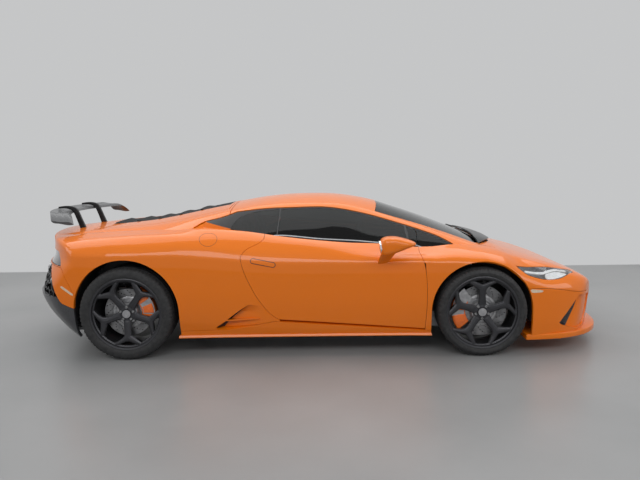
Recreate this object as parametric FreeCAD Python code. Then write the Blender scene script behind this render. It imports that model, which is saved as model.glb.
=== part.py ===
"""A low two-seat mid-engined sports car, built from separate panels, glass, wheels and running gear.

Millimetres, +X forward, +Y to the car's left, +Z up. Every piece is laid out from the
middle of the wheelbase on the floor. place() then moves it so that the origin lies under
the middle of the overall length.
"""
import FreeCAD, Part
import math
import os

V = FreeCAD.Vector

# Driving sizes
WHEELBASE = 2620.0
FRONT_OVERHANG = 1050.0
REAR_OVERHANG = 890.0
FRONT_TRACK = 1668.0
REAR_TRACK = 1620.0
HALF_WIDTH = 966.0
ROOF_HEIGHT = 1168.0
FLOOR_HEIGHT = 120.0
BODY_BOTTOM = 145.0

FRONT_TYRE_RADIUS = 327.5
FRONT_TYRE_WIDTH = 245.0
REAR_TYRE_RADIUS = 345.5
REAR_TYRE_WIDTH = 305.0
RIM_RADIUS = 262.0
RIM_WALL = 12.0
TYRE_SEAT = 0.3
TYRE_SHOULDER = 10.0
FRONT_ARCH_RADIUS = 370.0
REAR_ARCH_RADIUS = 392.0
ARCH_RISE = 8.0
FRONT_DISC_RADIUS = 190.0
REAR_DISC_RADIUS = 178.0
DISC_THICKNESS = 34.0
SPOKES = 5

SKIN = 28.0
ROOF_SKIN = 35.0
GLASS = 5.0
SHUT_GAP = 5.5
SEAT_GAP = 0.3
PANEL_FIT = 0.8
SCREEN_FIT = 3.0

FRONT_AXLE_X = WHEELBASE / 2
REAR_AXLE_X = -WHEELBASE / 2
FRONT_END = FRONT_AXLE_X + FRONT_OVERHANG
REAR_END = REAR_AXLE_X - REAR_OVERHANG
MIDDLE_X = (FRONT_END + REAR_END) / 2
FAR = 3000.0

# Heights of the hull's upper surface along the car, at fixed distances from the centre line
HULL_COLUMNS = {
    0: [(-2400, 800), (-2150, 893), (-1860, 900), (-764, 940), (1139, 850), (1330, 822), (1460, 795),
        (1610, 738), (1756, 686), (1884, 645), (2080, 580), (2195, 525), (2290, 455), (2400, 350)],
    380: [(-2400, 795), (-2150, 885), (-1860, 900), (-764, 940), (1139, 840), (1330, 812), (1460, 785),
          (1610, 730), (1756, 682), (1884, 643), (2080, 580), (2195, 525), (2290, 455), (2400, 350)],
    620: [(-2400, 740), (-2100, 862), (-1900, 890), (-1600, 918), (-1310, 930), (-764, 955), (-201, 920),
          (1139, 825), (1310, 795), (1460, 768), (1610, 716), (1756, 672), (1884, 640), (2080, 572),
          (2200, 508), (2300, 425), (2400, 330)],
    730: [(-2400, 650), (-2100, 820), (-1900, 872), (-1600, 905), (-1310, 920), (-950, 935), (-764, 950),
          (-481, 930), (-201, 897), (125, 864), (551, 826), (799, 798), (960, 792), (1139, 800), (1310, 784),
          (1460, 758), (1610, 703), (1756, 662), (1884, 622), (2080, 540), (2200, 465), (2400, 290)],
    820: [(-2400, 560), (-2100, 755), (-1900, 838), (-1600, 890), (-1310, 910), (-950, 918), (-764, 912),
          (-481, 884), (-201, 856), (125, 826), (551, 774), (799, 754), (960, 760), (1139, 775), (1310, 768),
          (1460, 738), (1610, 662), (1756, 596), (1884, 548), (2080, 458), (2400, 220)],
    900: [(-2400, 450), (-2100, 650), (-1900, 762), (-1600, 842), (-1310, 866), (-950, 866), (-764, 850),
          (-481, 800), (-201, 763), (125, 742), (551, 731), (960, 732), (1139, 742), (1310, 738), (1460, 702),
          (1610, 604), (1756, 522), (1884, 462), (2400, 140)],
    985: [(-2400, 300), (-2100, 510), (-1900, 640), (-1600, 735), (-1310, 768), (-950, 765), (-764, 745),
          (-481, 690), (-201, 655), (125, 645), (960, 648), (1139, 660), (1310, 660), (1460, 615),
          (1610, 505), (1884, 350), (2400, 60)],
}
# Widest half width of the hull along the car
PLAN = [(-2400, 640), (-2250, 735), (-2070, 812), (-1950, 862), (-1750, 922), (-1550, 953), (-1310, HALF_WIDTH),
        (-1000, 958), (-650, 937), (-250, 921), (250, 914), (750, 918), (1000, 932), (1310, 952), (1550, 944),
        (1750, 912), (1950, 852), (2100, 782), (2200, 715), (2310, 600), (2450, 400)]
# Height at which the side starts to lean inward, along the car
KNEE = [(-2400, 740), (-1800, 765), (-1310, 770), (-950, 765), (-600, 735), (-200, 700), (300, 690), (900, 690),
        (1310, 700), (1500, 650), (1700, 560), (1900, 500), (2100, 420), (2400, 360)]
# Inward lean of the side against the height above the knee
LEAN = [(-700, 90), (-560, 52), (-480, 26), (-380, 10), (-250, 0), (-120, 0), (0, 8), (70, 34), (140, 80),
        (260, 170), (420, 300)]
# Front and rear ends of the hull: position against the distance from the centre line, and set-back against height
NOSE = [(0, 2330), (250, 2322), (450, 2282), (600, 2216), (750, 2122), (900, 1990), (1060, 1820)]
NOSE_SET_BACK = [(60, 40), (150, 26), (300, 8), (420, 0), (520, 6), (700, 30), (1000, 60)]
TAIL = [(0, REAR_END), (300, -2176), (500, -2122), (620, -2070), (750, -1990), (850, -1905), (960, -1780),
        (1060, -1640)]
TAIL_SET_BACK = [(60, 330), (124, 250), (250, 120), (374, 30), (462, 0), (560, 20), (674, 73), (760, 120),
                 (866, 130), (960, 110), (1100, 110)]
# Canopy: centre line, and the fold between roof and side with the line where the side meets the hull
ROOF_LINE = [(-2300, 845), (-2150, 893), (-1860, 925), (-1553, 952), (-1376, 968), (-1243, 984), (-1083, 1012),
             (-820, 1066), (-571, 1110), (-287, 1152), (-87, 1166), (60, ROOF_HEIGHT), (200, 1164), (340, 1150),
             (469, 1128), (589, 1100), (719, 1058), (918, 990), (1119, 915), (1330, 830), (1500, 762)]
FOLD_Y = [(-2300, 470), (-1600, 520), (-1250, 545), (-950, 560), (-571, 560), (-284, 520), (203, 508), (483, 515),
          (660, 545), (916, 598), (1139, 655), (1386, 700), (1500, 720)]
FOLD_Z = [(-2300, 800), (-2050, 880), (-1600, 930), (-1250, 952), (-950, 992), (-571, 1066), (-284, 1104),
          (-59, 1114), (203, 1110), (340, 1094), (483, 1058), (660, 1002), (916, 924), (1139, 850), (1386, 765),
          (1500, 725)]
BASE_Y = [(-2300, 640), (-1600, 770), (-1250, 790), (-950, 780), (-764, 775), (-481, 790), (-201, 812),
          (125, 820), (551, 812), (799, 803), (922, 790), (1139, 752), (1386, 740), (1500, 760)]
BASE_Z = [(-2300, 760), (-2050, 850), (-1600, 900), (-1250, 925), (-950, 950), (-764, 950), (-481, 912),
          (-201, 866), (125, 826), (551, 778), (799, 756), (922, 762), (1139, 795), (1386, 735), (1500, 700)]
SILL_INNER_Y = 780.3
COWL_FRONT = 1560.0
COWL_HALF = 640.0
COLUMN_RADIUS = 22.0
COLUMN_CLEARANCE = 0.8
COLUMN_END_ROOM = 4.0
SPLITTER_Z = 108.0
SPLITTER_THICKNESS = 42.0
BACKING = 10.0
BACKING_LAP = 14.0
GLASS_INSET = 2.0
GLASS_LEDGE = 18.0
DOOR_GLASS_FIT = 5.5
LOUVRES = 5
LOUVRE_START = -760.0
LOUVRE_PITCH = 180.0
LOUVRE_OPENING = 110.0
WING_HALF_SPAN = 660.0
WING_FRONT = -1885.0
WING_REAR = -2105.0
WING_SWEEP = 110.0
WING_DROOP = 62.0
WING_Z = 1062.0
PYLON_Y = 240.0
MESH_Z = 470.0
FIN_YS = (140.0, 330.0, 520.0)
FIN_THICKNESS = 8.0
FIN_BOTTOM = 118.0
EXHAUST_RADIUS = 58.0
EXHAUST_START = -2060.0
EXHAUST_END = -2200.0
EXHAUST_Y = 170.0
EXHAUST_Z = 560.0
RIM_INSET = 10.0
FACE_INSET = 12.0
FACE_THICKNESS = 30.0
HUB_RADIUS = 62.0
HUB_DEPTH = 10.0
HUB_BORE = 30.0
HAT_RADIUS = 78.0
HAT_DEPTH = 46.0
DISC_CLEARANCE = 6.0
UPRIGHT_THICKNESS = 40.0
CALIPER_CLEARANCE = 3.0
CALIPER_ANGLE = 62.0
PIN_RADIUS = 14.0
EYE_WALL = 7.0
WISHBONE_Z = 122.0
SPOKE_ROOT = 24.0
SPOKE_NECK = 15.0
FORK_RADIUS = 158.0
FORK_SPREAD = 96.0
TUB_HALF = 780.0
PAD_RADIUS = 35.0
PAD_Y = 730.0
PAD_Z = 112.0
PAD_XS = (-820.0, 850.0)
SEAT_Y = 370.0
SEAT_HALF = 250.0
WHEEL_HUB = (440.0, 370.0, 690.0)
COLUMN_END = (760.0, 370.0, 600.0)
MIRROR_Y = 1020.0
CANOPY_BULGE = 10.0
HULL_STATIONS = (-2280, -2140, -2000, -1850, -1600, -1310, -1000, -700, -400, -100, 300, 700, 1000, 1200, 1360,
                 1500, 1630, 1756, 1884, 2030, 2160, 2270, 2380)
CANOPY_COUNT = 17
END_STATIONS = (-10, 200, 380, 520, 640, 760, 900, 1040)
HULL_TOP_SHARES = (0, 0.42, 0.67, 0.79, 0.89, 1)
HULL_SIDE_SHARES = (0.07, 0.2, 0.38, 0.6, 0.8, 0.92, 1)
ROOF_SHARES = (0, 0.35, 0.62, 0.83, 1)


def along(points, t):
    """Value at t of the smooth curve through (position, value) points, without overshoot."""
    if t <= points[0][0]:
        return points[0][1]
    if t >= points[-1][0]:
        return points[-1][1]
    i = max(k for k in range(len(points) - 1) if points[k][0] <= t)
    slopes = [(b[1] - a[1]) / (b[0] - a[0]) for a, b in zip(points, points[1:])]

    def tangent(k):
        if k == 0 or k == len(points) - 1:
            return slopes[min(k, len(slopes) - 1)]
        before, after = slopes[k - 1], slopes[k]
        if before * after <= 0:
            return 0.0
        return 2 * before * after / (before + after)

    (x0, y0), (x1, y1) = points[i], points[i + 1]
    h = x1 - x0
    s = (t - x0) / h
    return (y0 * (1 + 2 * s) * (1 - s) ** 2 + y1 * s * s * (3 - 2 * s)
            + h * (tangent(i) * s * (1 - s) ** 2 + tangent(i + 1) * s * s * (s - 1)))


def hull_top(x, y):
    """Height of the hull's upper surface."""
    section = [(column, along(line, x)) for column, line in HULL_COLUMNS.items()]
    return along(section, abs(y))


def hull_side(x, z):
    """Half width of the hull."""
    return along(PLAN, x) - along(LEAN, z - along(KNEE, x))


def hull_shoulder(x, inset):
    """Point of the section at x where the hull's top meets its side."""
    low, high = 300.0, 1000.0
    for _ in range(40):
        y = (low + high) / 2
        if hull_side(x, hull_top(x, y)) - inset > y:
            low = y
        else:
            high = y
    return y, hull_top(x, y) - inset


def hull_section(x, inset, bottom):
    """Half section of the hull: top from the centre line outward, then down the side."""
    y, z = hull_shoulder(x, inset)
    points = [V(x, share * y, hull_top(x, share * y) - inset) for share in HULL_TOP_SHARES]
    points += [V(x, hull_side(x, z + (bottom - z) * share) - inset, z + (bottom - z) * share)
               for share in HULL_SIDE_SHARES]
    return points + [V(x, 0, bottom)]


def canopy_section(x, inset, bottom):
    """Half section of the canopy: crowned roof to the fold, then the leaning side."""
    fold_y, fold_z = along(FOLD_Y, x), along(FOLD_Z, x)
    base_y, base_z = along(BASE_Y, x), along(BASE_Z, x)
    centre = along(ROOF_LINE, x)
    points = [V(x, share * (fold_y - inset), centre - (centre - fold_z) * share ** 2.2 - inset)
              for share in ROOF_SHARES]
    lean = (base_y - fold_y) / (fold_z - base_z)
    across = inset * math.hypot(1, 1 / max(lean, 0.3))
    middle = V(x, (fold_y + base_y) / 2 + CANOPY_BULGE - across, (fold_z + base_z) / 2 - inset)
    under = V(x, base_y + 12 - across, base_z - 60)
    return points + [middle, under, V(x, base_y + 12 - across, bottom), V(x, 0, bottom)]


def nose_section(y, inset):
    x = along(NOSE, y) - inset
    levels = [60, 150, 300, 420, 520, 700, 1000]
    return [V(0, y, 60)] + [V(x - along(NOSE_SET_BACK, z), y, z) for z in levels] + [V(0, y, 1000)]


def tail_section(y, inset):
    x = along(TAIL, y) + inset
    levels = [60, 124, 250, 374, 462, 560, 674, 760, 866, 960, 1100]
    return [V(0, y, 60)] + [V(x + along(TAIL_SET_BACK, z), y, z) for z in levels] + [V(0, y, 1100)]


def steps(low, high, count):
    return [low + (high - low) * i / (count - 1) for i in range(count)]


def skinned(section, stations):
    """Solid whose long edges are smooth curves through the corners of its sections."""
    sections = [section(station) for station in stations]
    wires = [Part.makePolygon(corners + corners[:1]) for corners in sections]
    solid = Part.makeLoft(wires, True, False)
    if solid.Volume < 0:
        solid.reverse()
    return solid


def box(x0, x1, y0, y1, z0, z1):
    return Part.makeBox(x1 - x0, y1 - y0, z1 - z0, V(x0, y0, z0))


def common(*shapes):
    result = shapes[0]
    for shape in shapes[1:]:
        result = result.common(shape)
    return result


def mirror(shape):
    return shape.mirror(V(0, 0, 0), V(0, 1, 0))


def tail_end(inset):
    return skinned(lambda y: tail_section(y, inset), END_STATIONS)


def half_hull(inset, bottom):
    """Left half of the hull, drawn in by the inset."""
    body = skinned(lambda x: hull_section(x, inset, bottom), HULL_STATIONS)
    nose = skinned(lambda y: nose_section(y, inset), END_STATIONS)
    return body.common(nose.fuse(tail_end(inset)))


def half_canopy(inset, x0, x1, bottom):
    """Left half of the canopy between two stations."""
    return skinned(lambda x: canopy_section(x, inset, bottom), steps(x0, x1, CANOPY_COUNT))


def shape_from(plane, start, runs):
    """Closed face in a plane. A run of one point is a straight line, a longer run a smooth curve."""
    edges = []
    at = start
    for run in list(runs) + [[start]]:
        points = [plane(*p) for p in [at] + run]
        if len(points) == 2:
            edges.append(Part.LineSegment(points[0], points[1]).toShape())
        else:
            curve = Part.BSplineCurve()
            curve.interpolate(points)
            edges.append(curve.toShape())
        at = run[-1]
    return Part.Face(Part.Wire(edges))


def grown(face, distance):
    """The face with its outline moved outward by a distance."""
    edges = []
    for edge in face.OuterWire.makeOffset2D(distance).OrderedEdges:
        if isinstance(edge.Curve, (Part.Line, Part.Circle)):
            edges.append(edge)
        else:
            curve = Part.BSplineCurve()
            curve.interpolate(edge.discretize(12))
            edges.append(curve.toShape())
    return Part.Face(Part.Wire(Part.sortEdges(edges)[0]))


def slab_xz(y0, y1, start, *runs, grow=0.0):
    """Prism across the car, drawn in side view."""
    face = shape_from(lambda x, z: V(x, y0, z), start, runs)
    if grow:
        face = grown(face, grow)
    return face.extrude(V(0, y1 - y0, 0))


def slab_xy(z0, z1, start, *runs, grow=0.0):
    """Upright prism, drawn in plan."""
    face = shape_from(lambda x, y: V(x, y, z0), start, runs)
    if grow:
        face = grown(face, grow)
    return face.extrude(V(0, 0, z1 - z0))


def tube_x(radius, x0, x1, y, z):
    return Part.makeCylinder(radius, x1 - x0, V(x0, y, z), V(1, 0, 0))


def tube_y(radius, x, y0, y1, z):
    return Part.makeCylinder(radius, y1 - y0, V(x, y0, z), V(0, 1, 0))


def tube_z(radius, x, y, z0, z1):
    return Part.makeCylinder(radius, z1 - z0, V(x, y, z0), V(0, 0, 1))


def rod(a, b, radius):
    a, b = V(*a), V(*b)
    return Part.makeCylinder(radius, (b - a).Length, a, b - a)


def fuse(shapes):
    shapes = list(shapes)
    return shapes[0].multiFuse(shapes[1:]) if len(shapes) > 1 else shapes[0]


def whole(half):
    """Left half and its mirror image, joined across the centre line."""
    return half.fuse(mirror(half)).removeSplitter()


def pair(left):
    """A left piece and its mirror image as two separate solids."""
    return Part.makeCompound(list(left.Solids) + list(mirror(left).Solids))


def largest(shape):
    return max(shape.Solids, key=lambda solid: solid.Volume)


# Outlines in side view
DOOR_INNER_Y = 812.0


def door_slab(grow=0.0, y0=600.0):
    return slab_xz(y0, 1100, (-291, 960),
                   [(-291, 874)],
                   [(-338, 841), (-427, 797), (-459, 755)],
                   [(-438, 663), (-399, 568), (-351, 472), (-286, 376), (-228, 314), (-185, 286)],
                   [(893, 203)],
                   [(905, 457), (900, 586), (887, 680), (863, 760)],
                   [(863, 960)], grow=grow)


def window_slab(grow=0.0):
    """Side window opening, from the pillar foot to the pointed rear end."""
    return slab_xz(300, 1100, (1136, 806),
                   [(1040, 858), (916, 904), (789, 945), (660, 984), (483, 1034), (304, 1073)],
                   [(203, 1087), (-59, 1091), (-284, 1086), (-521, 1065)],
                   [(-665, 1019), (-781, 990), (-850, 950)],
                   [(-850, 700)], [(1136, 700)], grow=grow)


def screen_slab(grow=0.0):
    """Windscreen opening in plan."""
    return slab_xy(600, 1300, (590, -20),
                   [(590, 0)],
                   [(585, 250), (556, 492)],
                   [(960, 545), (1318, 612)],
                   [(1386, 500), (1450, 300), (1480, 0)],
                   [(1480, -20)], grow=grow)


def bonnet_slab(grow=0.0):
    return slab_xy(200, 1300, (1545, -40),
                   [(1545, 0)],
                   [(1505, 300), (1420, 500), (1335, 632)],
                   [(1600, 640), (1884, 622), (2100, 560)],
                   [(2190, 430), (2240, 200), (2250, 0)],
                   [(2250, -40)], grow=grow)


def engine_cover_slab(grow=0.0):
    return slab_xy(500, 1300, (-600, -40),
                   [(-600, 460)], [(-1250, 470), (-1700, 430)], [(-1700, -40)], grow=grow)


def bumper_slab(grow=0.0):
    """Region of the front bumper below the crease from the marker lamp to the nose."""
    return slab_xz(-20, 1100, (1640, 497), [(1760, 494), (2040, 446)], [(2500, 400)], [(2500, 60)],
                   [(1560, 60)], [(1560, 497)], grow=grow)


def rear_bumper_slab(grow=0.0):
    return slab_xz(-20, 1100, (-1690, 491), [(-1786, 689)], [(-2500, 689)], [(-2500, 60)], [(-1560, 60)],
                   [(-1560, 491)], grow=grow)


def rear_black_slab(grow=0.0):
    """Region behind the painted corners: mesh above, diffuser below."""
    return slab_xz(-20, 1100, (-1945, 695), [(-1805, 425)], [(-1700, 385)], [(-1560, 365)], [(-1560, 60)],
                   [(-2500, 60)], [(-2500, 695)], grow=grow)


def tail_slab(grow=0.0):
    """Region of the black lamp band between bumper and tail."""
    return slab_xz(-20, 1100, (-1800, 700), [(-1850, 796)], [(-2500, 796)], [(-2500, 700)], grow=grow)


def arch(axle_x, radius, rise, tyre_radius, y0, y1):
    """Wheel arch: a cylinder with straight sides down to the floor."""
    z = tyre_radius + rise
    return tube_y(radius, axle_x, y0, y1, z).fuse(box(axle_x - radius, axle_x + radius, y0, y1, -50, z))


def front_arch(y0, y1, more=0.0):
    return arch(FRONT_AXLE_X, FRONT_ARCH_RADIUS + more, ARCH_RISE, FRONT_TYRE_RADIUS, y0, y1)


def rear_arch(y0, y1, more=0.0):
    return arch(REAR_AXLE_X, REAR_ARCH_RADIUS + more, ARCH_RISE + 6, REAR_TYRE_RADIUS, y0, y1)


class Skins:
    """The outer forms that the panels are cut from, made once."""

    def __init__(self):
        self.hull = half_hull(0, BODY_BOTTOM)
        self.lifted = self.hull.translated(V(0, 0, SEAT_GAP))
        hull_in = half_hull(SKIN, BODY_BOTTOM - 40)
        self.under_skin = half_hull(SKIN + PANEL_FIT, BODY_BOTTOM)
        self.hull_core = half_hull(SKIN + PANEL_FIT + BACKING, BODY_BOTTOM - 20)
        behind = box(-2600, -1400, -20, 1100, 500, 1300).cut(tail_end(0))
        self.canopy = half_canopy(0, -2290, 1420, 600).cut(behind)
        self.over_canopy = self.canopy.translated(V(0, 0, SEAT_GAP))
        canopy_in = half_canopy(ROOF_SKIN, -2310, 1440, 560)
        glass_in = half_canopy(GLASS_INSET + GLASS, -1950, 1440, 560)
        glass_seat = half_canopy(GLASS_INSET + GLASS + SEAT_GAP, -1950, 1440, 560)
        self.skin = self.hull.cut(hull_in)
        self.backing = self.under_skin.cut(self.hull_core)
        self.roof_skin = self.canopy.cut(canopy_in)
        self.roof_outer = self.canopy.cut(glass_seat)
        self.roof_inner = glass_seat.cut(canopy_in).common(self.canopy)
        self.glass = half_canopy(GLASS_INSET, -1900, 1420, 600).cut(glass_in)
        self.shell = self.hull.fuse(self.canopy).cut(hull_in.fuse(canopy_in))
        self.window = window_slab().cut(self.hull)
        self.tub_limit = self.hull_core.fuse(half_canopy(ROOF_SKIN + 8.0, -1900, 1420, 560))
        self.tub_limit = self.tub_limit.fuse(box(-900, 1960, 0, TUB_HALF, FLOOR_HEIGHT, 200))


def make_glass(skins):
    """Windscreen, door glass and the fixed side panes, all just under the canopy's surface."""
    panes = {
        "door": (window_slab(grow=-DOOR_GLASS_FIT), slab_xz(300, 1100, (-154, 1200), [(-215, 700)], [(856, 700)],
                                                            [(856, 1200)])),
        "rear": (window_slab(grow=-SCREEN_FIT), slab_xz(300, 1100, (-160, 1200), [(-221, 700)], [(-800, 700)],
                                                        [(-800, 1200)])),
        "front": (window_slab(grow=-SCREEN_FIT), slab_xz(300, 1100, (864, 1200), [(864, 700)], [(1120, 700)],
                                                         [(1120, 1200)])),
    }
    result = {name: largest(skins.glass.common(opening).common(part).cut(skins.lifted))
              for name, (opening, part) in panes.items()}
    result["screen"] = largest(skins.glass.common(screen_slab(grow=-SCREEN_FIT)).cut(skins.lifted))
    return result


def make_roof(skins):
    """Roof skin with the windscreen pillars and the rails over the doors, with a ledge for the windscreen."""
    outer = skins.roof_outer.cut(screen_slab())
    inner = skins.roof_inner.cut(screen_slab(grow=-GLASS_LEDGE))
    half = outer.fuse(inner).common(box(-571, 1420, 0, 900, 700, 1300))
    return whole(largest(half.cut(skins.window).cut(skins.lifted)))


def sill_slab(grow=0.0):
    return slab_xz(-20, 1100, (-938, 200), [(-560, 208)], [(-215, 268)], [(893, 186)], [(950, 186)], [(950, 60)],
                   [(-938, 60)], grow=grow)


def make_sills(skins):
    """Side skirt under the door, one solid each side."""
    half = skins.hull.common(sill_slab()).common(box(-1000, 1000, SILL_INNER_Y, 1000, 0, 400))
    return pair(largest(half.cut(front_arch(500, 1100)).cut(rear_arch(500, 1100))))


def headlamp_slab(grow=0.0):
    return slab_xy(300, 900, (1560, 872), [(1700, 800), (1900, 730), (2040, 650)], [(2065, 668)],
                   [(1960, 775), (1800, 850), (1640, 888)], grow=grow)


def make_wing(skins):
    """Front wing: from the door to the nose, between bonnet and bumper."""
    half = skins.skin.common(box(895, 2190, 400, 1000, 100, 1000))
    for cutter in (door_slab(SHUT_GAP, y0=500), bonnet_slab(SHUT_GAP), bumper_slab(SHUT_GAP),
                   front_arch(500, 1100), screen_slab(SHUT_GAP), sill_slab(SHUT_GAP), headlamp_slab(SCREEN_FIT),
                   box(895, COWL_FRONT, 300, COWL_HALF, 0, 1000)):
        half = half.cut(cutter)
    return largest(half)


def make_bonnet(skins):
    half = skins.skin.common(bonnet_slab())
    return whole(largest(half.cut(box(1000, 2400, -10, 1000, 0, 380))))


def make_cowl(skins):
    """Black panel between windscreen and bonnet."""
    half = skins.skin.common(box(1200, COWL_FRONT, -10, COWL_HALF - PANEL_FIT, 500, 1000))
    half = half.cut(bonnet_slab(SHUT_GAP)).cut(skins.canopy)
    return whole(largest(half))


def slab_yz(x0, x1, points, grow=0.0):
    """Prism along the car, drawn in front view."""
    face = Part.Face(Part.makePolygon([V(x0, y, z) for y, z in points + points[:1]]))
    if grow:
        face = grown(face, grow)
    return face.extrude(V(x1 - x0, 0, 0))


def front_intake(grow=0.0):
    """Large side mouth in the front bumper."""
    return slab_yz(1700, 2600, [(330, 205), (380, 330), (600, 372), (712, 385), (760, 215), (700, 190)], grow)


def tail_band(y0, y1, lap):
    return box(-2600, -1760, y0, y1, 700 - lap, 796 + lap)


def make_front_bumper(skins):
    skin = skins.skin
    half = skin.common(bumper_slab())
    half = half.fuse(skin.common(box(2195, 2500, -10, 1000, 100, 700)).cut(bonnet_slab(SHUT_GAP)))
    half = half.cut(front_arch(500, 1100)).cut(front_intake())
    lip = slab_xy(SPLITTER_Z, SPLITTER_Z + SPLITTER_THICKNESS, (1640, -10),
                  [(1640, 912)], [(1900, 880), (2120, 775), (2240, 650), (2310, 500)],
                  [(2345, 300), (FRONT_END, 0)], [(FRONT_END, -10)])
    lip = lip.cut(front_arch(500, 1100))
    half = fuse([half, lip])
    return whole(largest(half))


def make_grilles(skins):
    """Black mesh panels just inside the openings of the front bumper, rear bumper and tail."""
    front = skins.backing.common(front_intake(BACKING_LAP))
    slats = [skins.hull.common(front_intake(-2)).common(box(1800, 2500, 300, 800, z, z + 12)).cut(skins.hull_core)
             for z in (236, 284, 332)]
    front = largest(fuse([front] + slats))
    mesh_top = 700 - BACKING_LAP - SEAT_GAP
    rear = skins.backing.common(rear_black_slab(BACKING_LAP))
    rear = rear.common(box(-2500, -1600, -10, 1000, MESH_Z - BACKING_LAP, mesh_top)).cut(rear_arch(500, 1100, 20))
    rear = rear.cut(tube_x(EXHAUST_RADIUS + SEAT_GAP, -2300, -2000, EXHAUST_Y, EXHAUST_Z))
    tail = skins.backing.common(tail_band(-10, 440, BACKING_LAP))
    return Part.makeCompound(list(pair(front).Solids) + [largest(whole(rear)), largest(whole(tail))])


def make_engine_cover(skins):
    half = skins.roof_skin.common(engine_cover_slab())
    slats = []
    for k in range(LOUVRES):
        x = LOUVRE_START - LOUVRE_PITCH * k
        half = half.cut(box(x - LOUVRE_OPENING, x, -10, 340, 500, 1300))
        z = along(ROOF_LINE, x - LOUVRE_OPENING) - ROOF_SKIN + 4
        slats.append(box(x - LOUVRE_OPENING - 3, x + 3, -10, 343, z - 10, z))
    return whole(largest(fuse([half] + slats)))


def make_quarter(skins):
    """Rear quarter panel with the haunch and the sail behind the side window."""
    half = skins.shell.common(box(-2300, -180, -10, 1000, 100, 1300))
    half = half.cut(box(-571 - SHUT_GAP, 0, -10, 900, 900, 1300).common(skins.canopy))
    half = half.cut(box(-600, 0, -10, 770, 100, 1300))
    for cutter in (door_slab(SHUT_GAP, y0=500), engine_cover_slab(SHUT_GAP), rear_bumper_slab(SHUT_GAP),
                   tail_slab(SHUT_GAP), rear_arch(500, 1100), skins.window, sill_slab(SHUT_GAP),
                   box(-1710, -600, -20, 400, 500, 1300), box(-2300, -180, -20, 400, 500, 880)):
        half = half.cut(cutter)
    return whole(largest(half))


def make_rear_bumper(skins):
    """Painted corner behind the rear wheel, one solid each side."""
    half = skins.skin.common(rear_bumper_slab()).cut(rear_black_slab(SHUT_GAP))
    return pair(largest(half.cut(rear_arch(500, 1100)).cut(tail_slab(SHUT_GAP))))


def make_diffuser(skins):
    """Black lower tail with a floor and upright fins."""
    wheel_room = rear_arch(500, 1100, 20)
    half = skins.skin.common(rear_black_slab()).common(box(-2500, -1600, -10, 1000, BODY_BOTTOM, MESH_Z))
    floor = skins.under_skin.common(box(-2300, -1720, -10, 800, BODY_BOTTOM, BODY_BOTTOM + 12))
    half = half.cut(wheel_room).fuse(floor.cut(wheel_room))
    fins = [box(-2150, -1800, y, y + FIN_THICKNESS, FIN_BOTTOM, BODY_BOTTOM + 8) for y in FIN_YS]
    return whole(largest(fuse([half] + fins)))


def make_tail_lamps(skins):
    return pair(largest(skins.backing.common(tail_band(446, 990, BACKING_LAP))))


def make_headlamps(skins):
    """Lens in the wing's opening with a flange behind the wing."""
    lens = skins.hull.common(headlamp_slab()).cut(skins.hull_core)
    flange = skins.backing.common(headlamp_slab(BACKING_LAP)).common(box(1400, 2300, 0, 1000, 440, 800))
    return pair(largest(lens.fuse(flange).cut(front_arch(500, 1100, 12))))


def make_exhausts():
    outer = tube_x(EXHAUST_RADIUS, EXHAUST_END, EXHAUST_START, EXHAUST_Y, EXHAUST_Z)
    return pair(outer.cut(tube_x(EXHAUST_RADIUS - 6, EXHAUST_END - 10, EXHAUST_START - 12, EXHAUST_Y, EXHAUST_Z)))


def make_rear_wing(skins):
    """Blade with drooped tips on two swan-neck pylons."""
    def section(y):
        share = abs(y) / WING_HALF_SPAN
        front = WING_FRONT + WING_SWEEP * share ** 2
        rear = WING_REAR + WING_SWEEP * 1.35 * share ** 2
        droop = WING_DROOP * max(0.0, (share - 0.86) / 0.14) ** 2
        z = WING_Z - droop
        return [V(front, y, z - 14), V(front - 30, y, z + 2), V(rear + 60, y, z + 12), V(rear, y, z + 20),
                V(rear + 4, y, z + 14), V(rear + 70, y, z - 2), V(front - 40, y, z - 18)]
    blade = skinned(section, [-WING_HALF_SPAN + WING_HALF_SPAN * k / 10 for k in range(21)])
    pylon = slab_xz(PYLON_Y - 9, PYLON_Y + 9, (-1830, 888), [(-1905, 1040), (-1935, 1094), (-2050, 1100)],
                    [(-2050, 1082)], [(-1945, 1074), (-1930, 1030), (-1900, 888)])
    pylon = pylon.cut(skins.lifted).cut(skins.over_canopy)
    return fuse([blade, pylon, mirror(pylon)])


# Wheels and what carries them
def turned(points, x, z):
    """Ring about the wheel's axis at (x, z) from a closed outline of (y, radius) points."""
    wire = Part.makePolygon([V(x, y, z + r) for y, r in points + points[:1]])
    return Part.Face(wire).revolve(V(x, 0, z), V(0, 1, 0), 360)


class Corner:
    """Places of one wheel's parts, all from its track, tyre and disc."""

    def __init__(self, x, track, width, radius, disc_radius):
        self.x, self.z, self.y = x, radius, track / 2
        self.half_width, self.radius, self.disc_radius = width / 2, radius, disc_radius
        self.edge_y = self.y + self.half_width - RIM_INSET
        self.face_y = self.edge_y - FACE_INSET
        self.hub_back_y = self.face_y - FACE_THICKNESS - HUB_DEPTH
        self.disc_y = self.hub_back_y - SEAT_GAP - HAT_DEPTH
        self.upright_y = self.disc_y - DISC_THICKNESS / 2 - DISC_CLEARANCE
        self.pin_y = self.upright_y - UPRIGHT_THICKNESS / 2


def make_tyre(c):
    inner = RIM_RADIUS + TYRE_SEAT
    h = c.half_width
    edge = TYRE_SHOULDER
    return turned([(c.y - h, inner), (c.y - h, c.radius - edge), (c.y - h + edge, c.radius),
                   (c.y + h - edge, c.radius), (c.y + h, c.radius - edge), (c.y + h, inner)], c.x, c.z)


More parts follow.
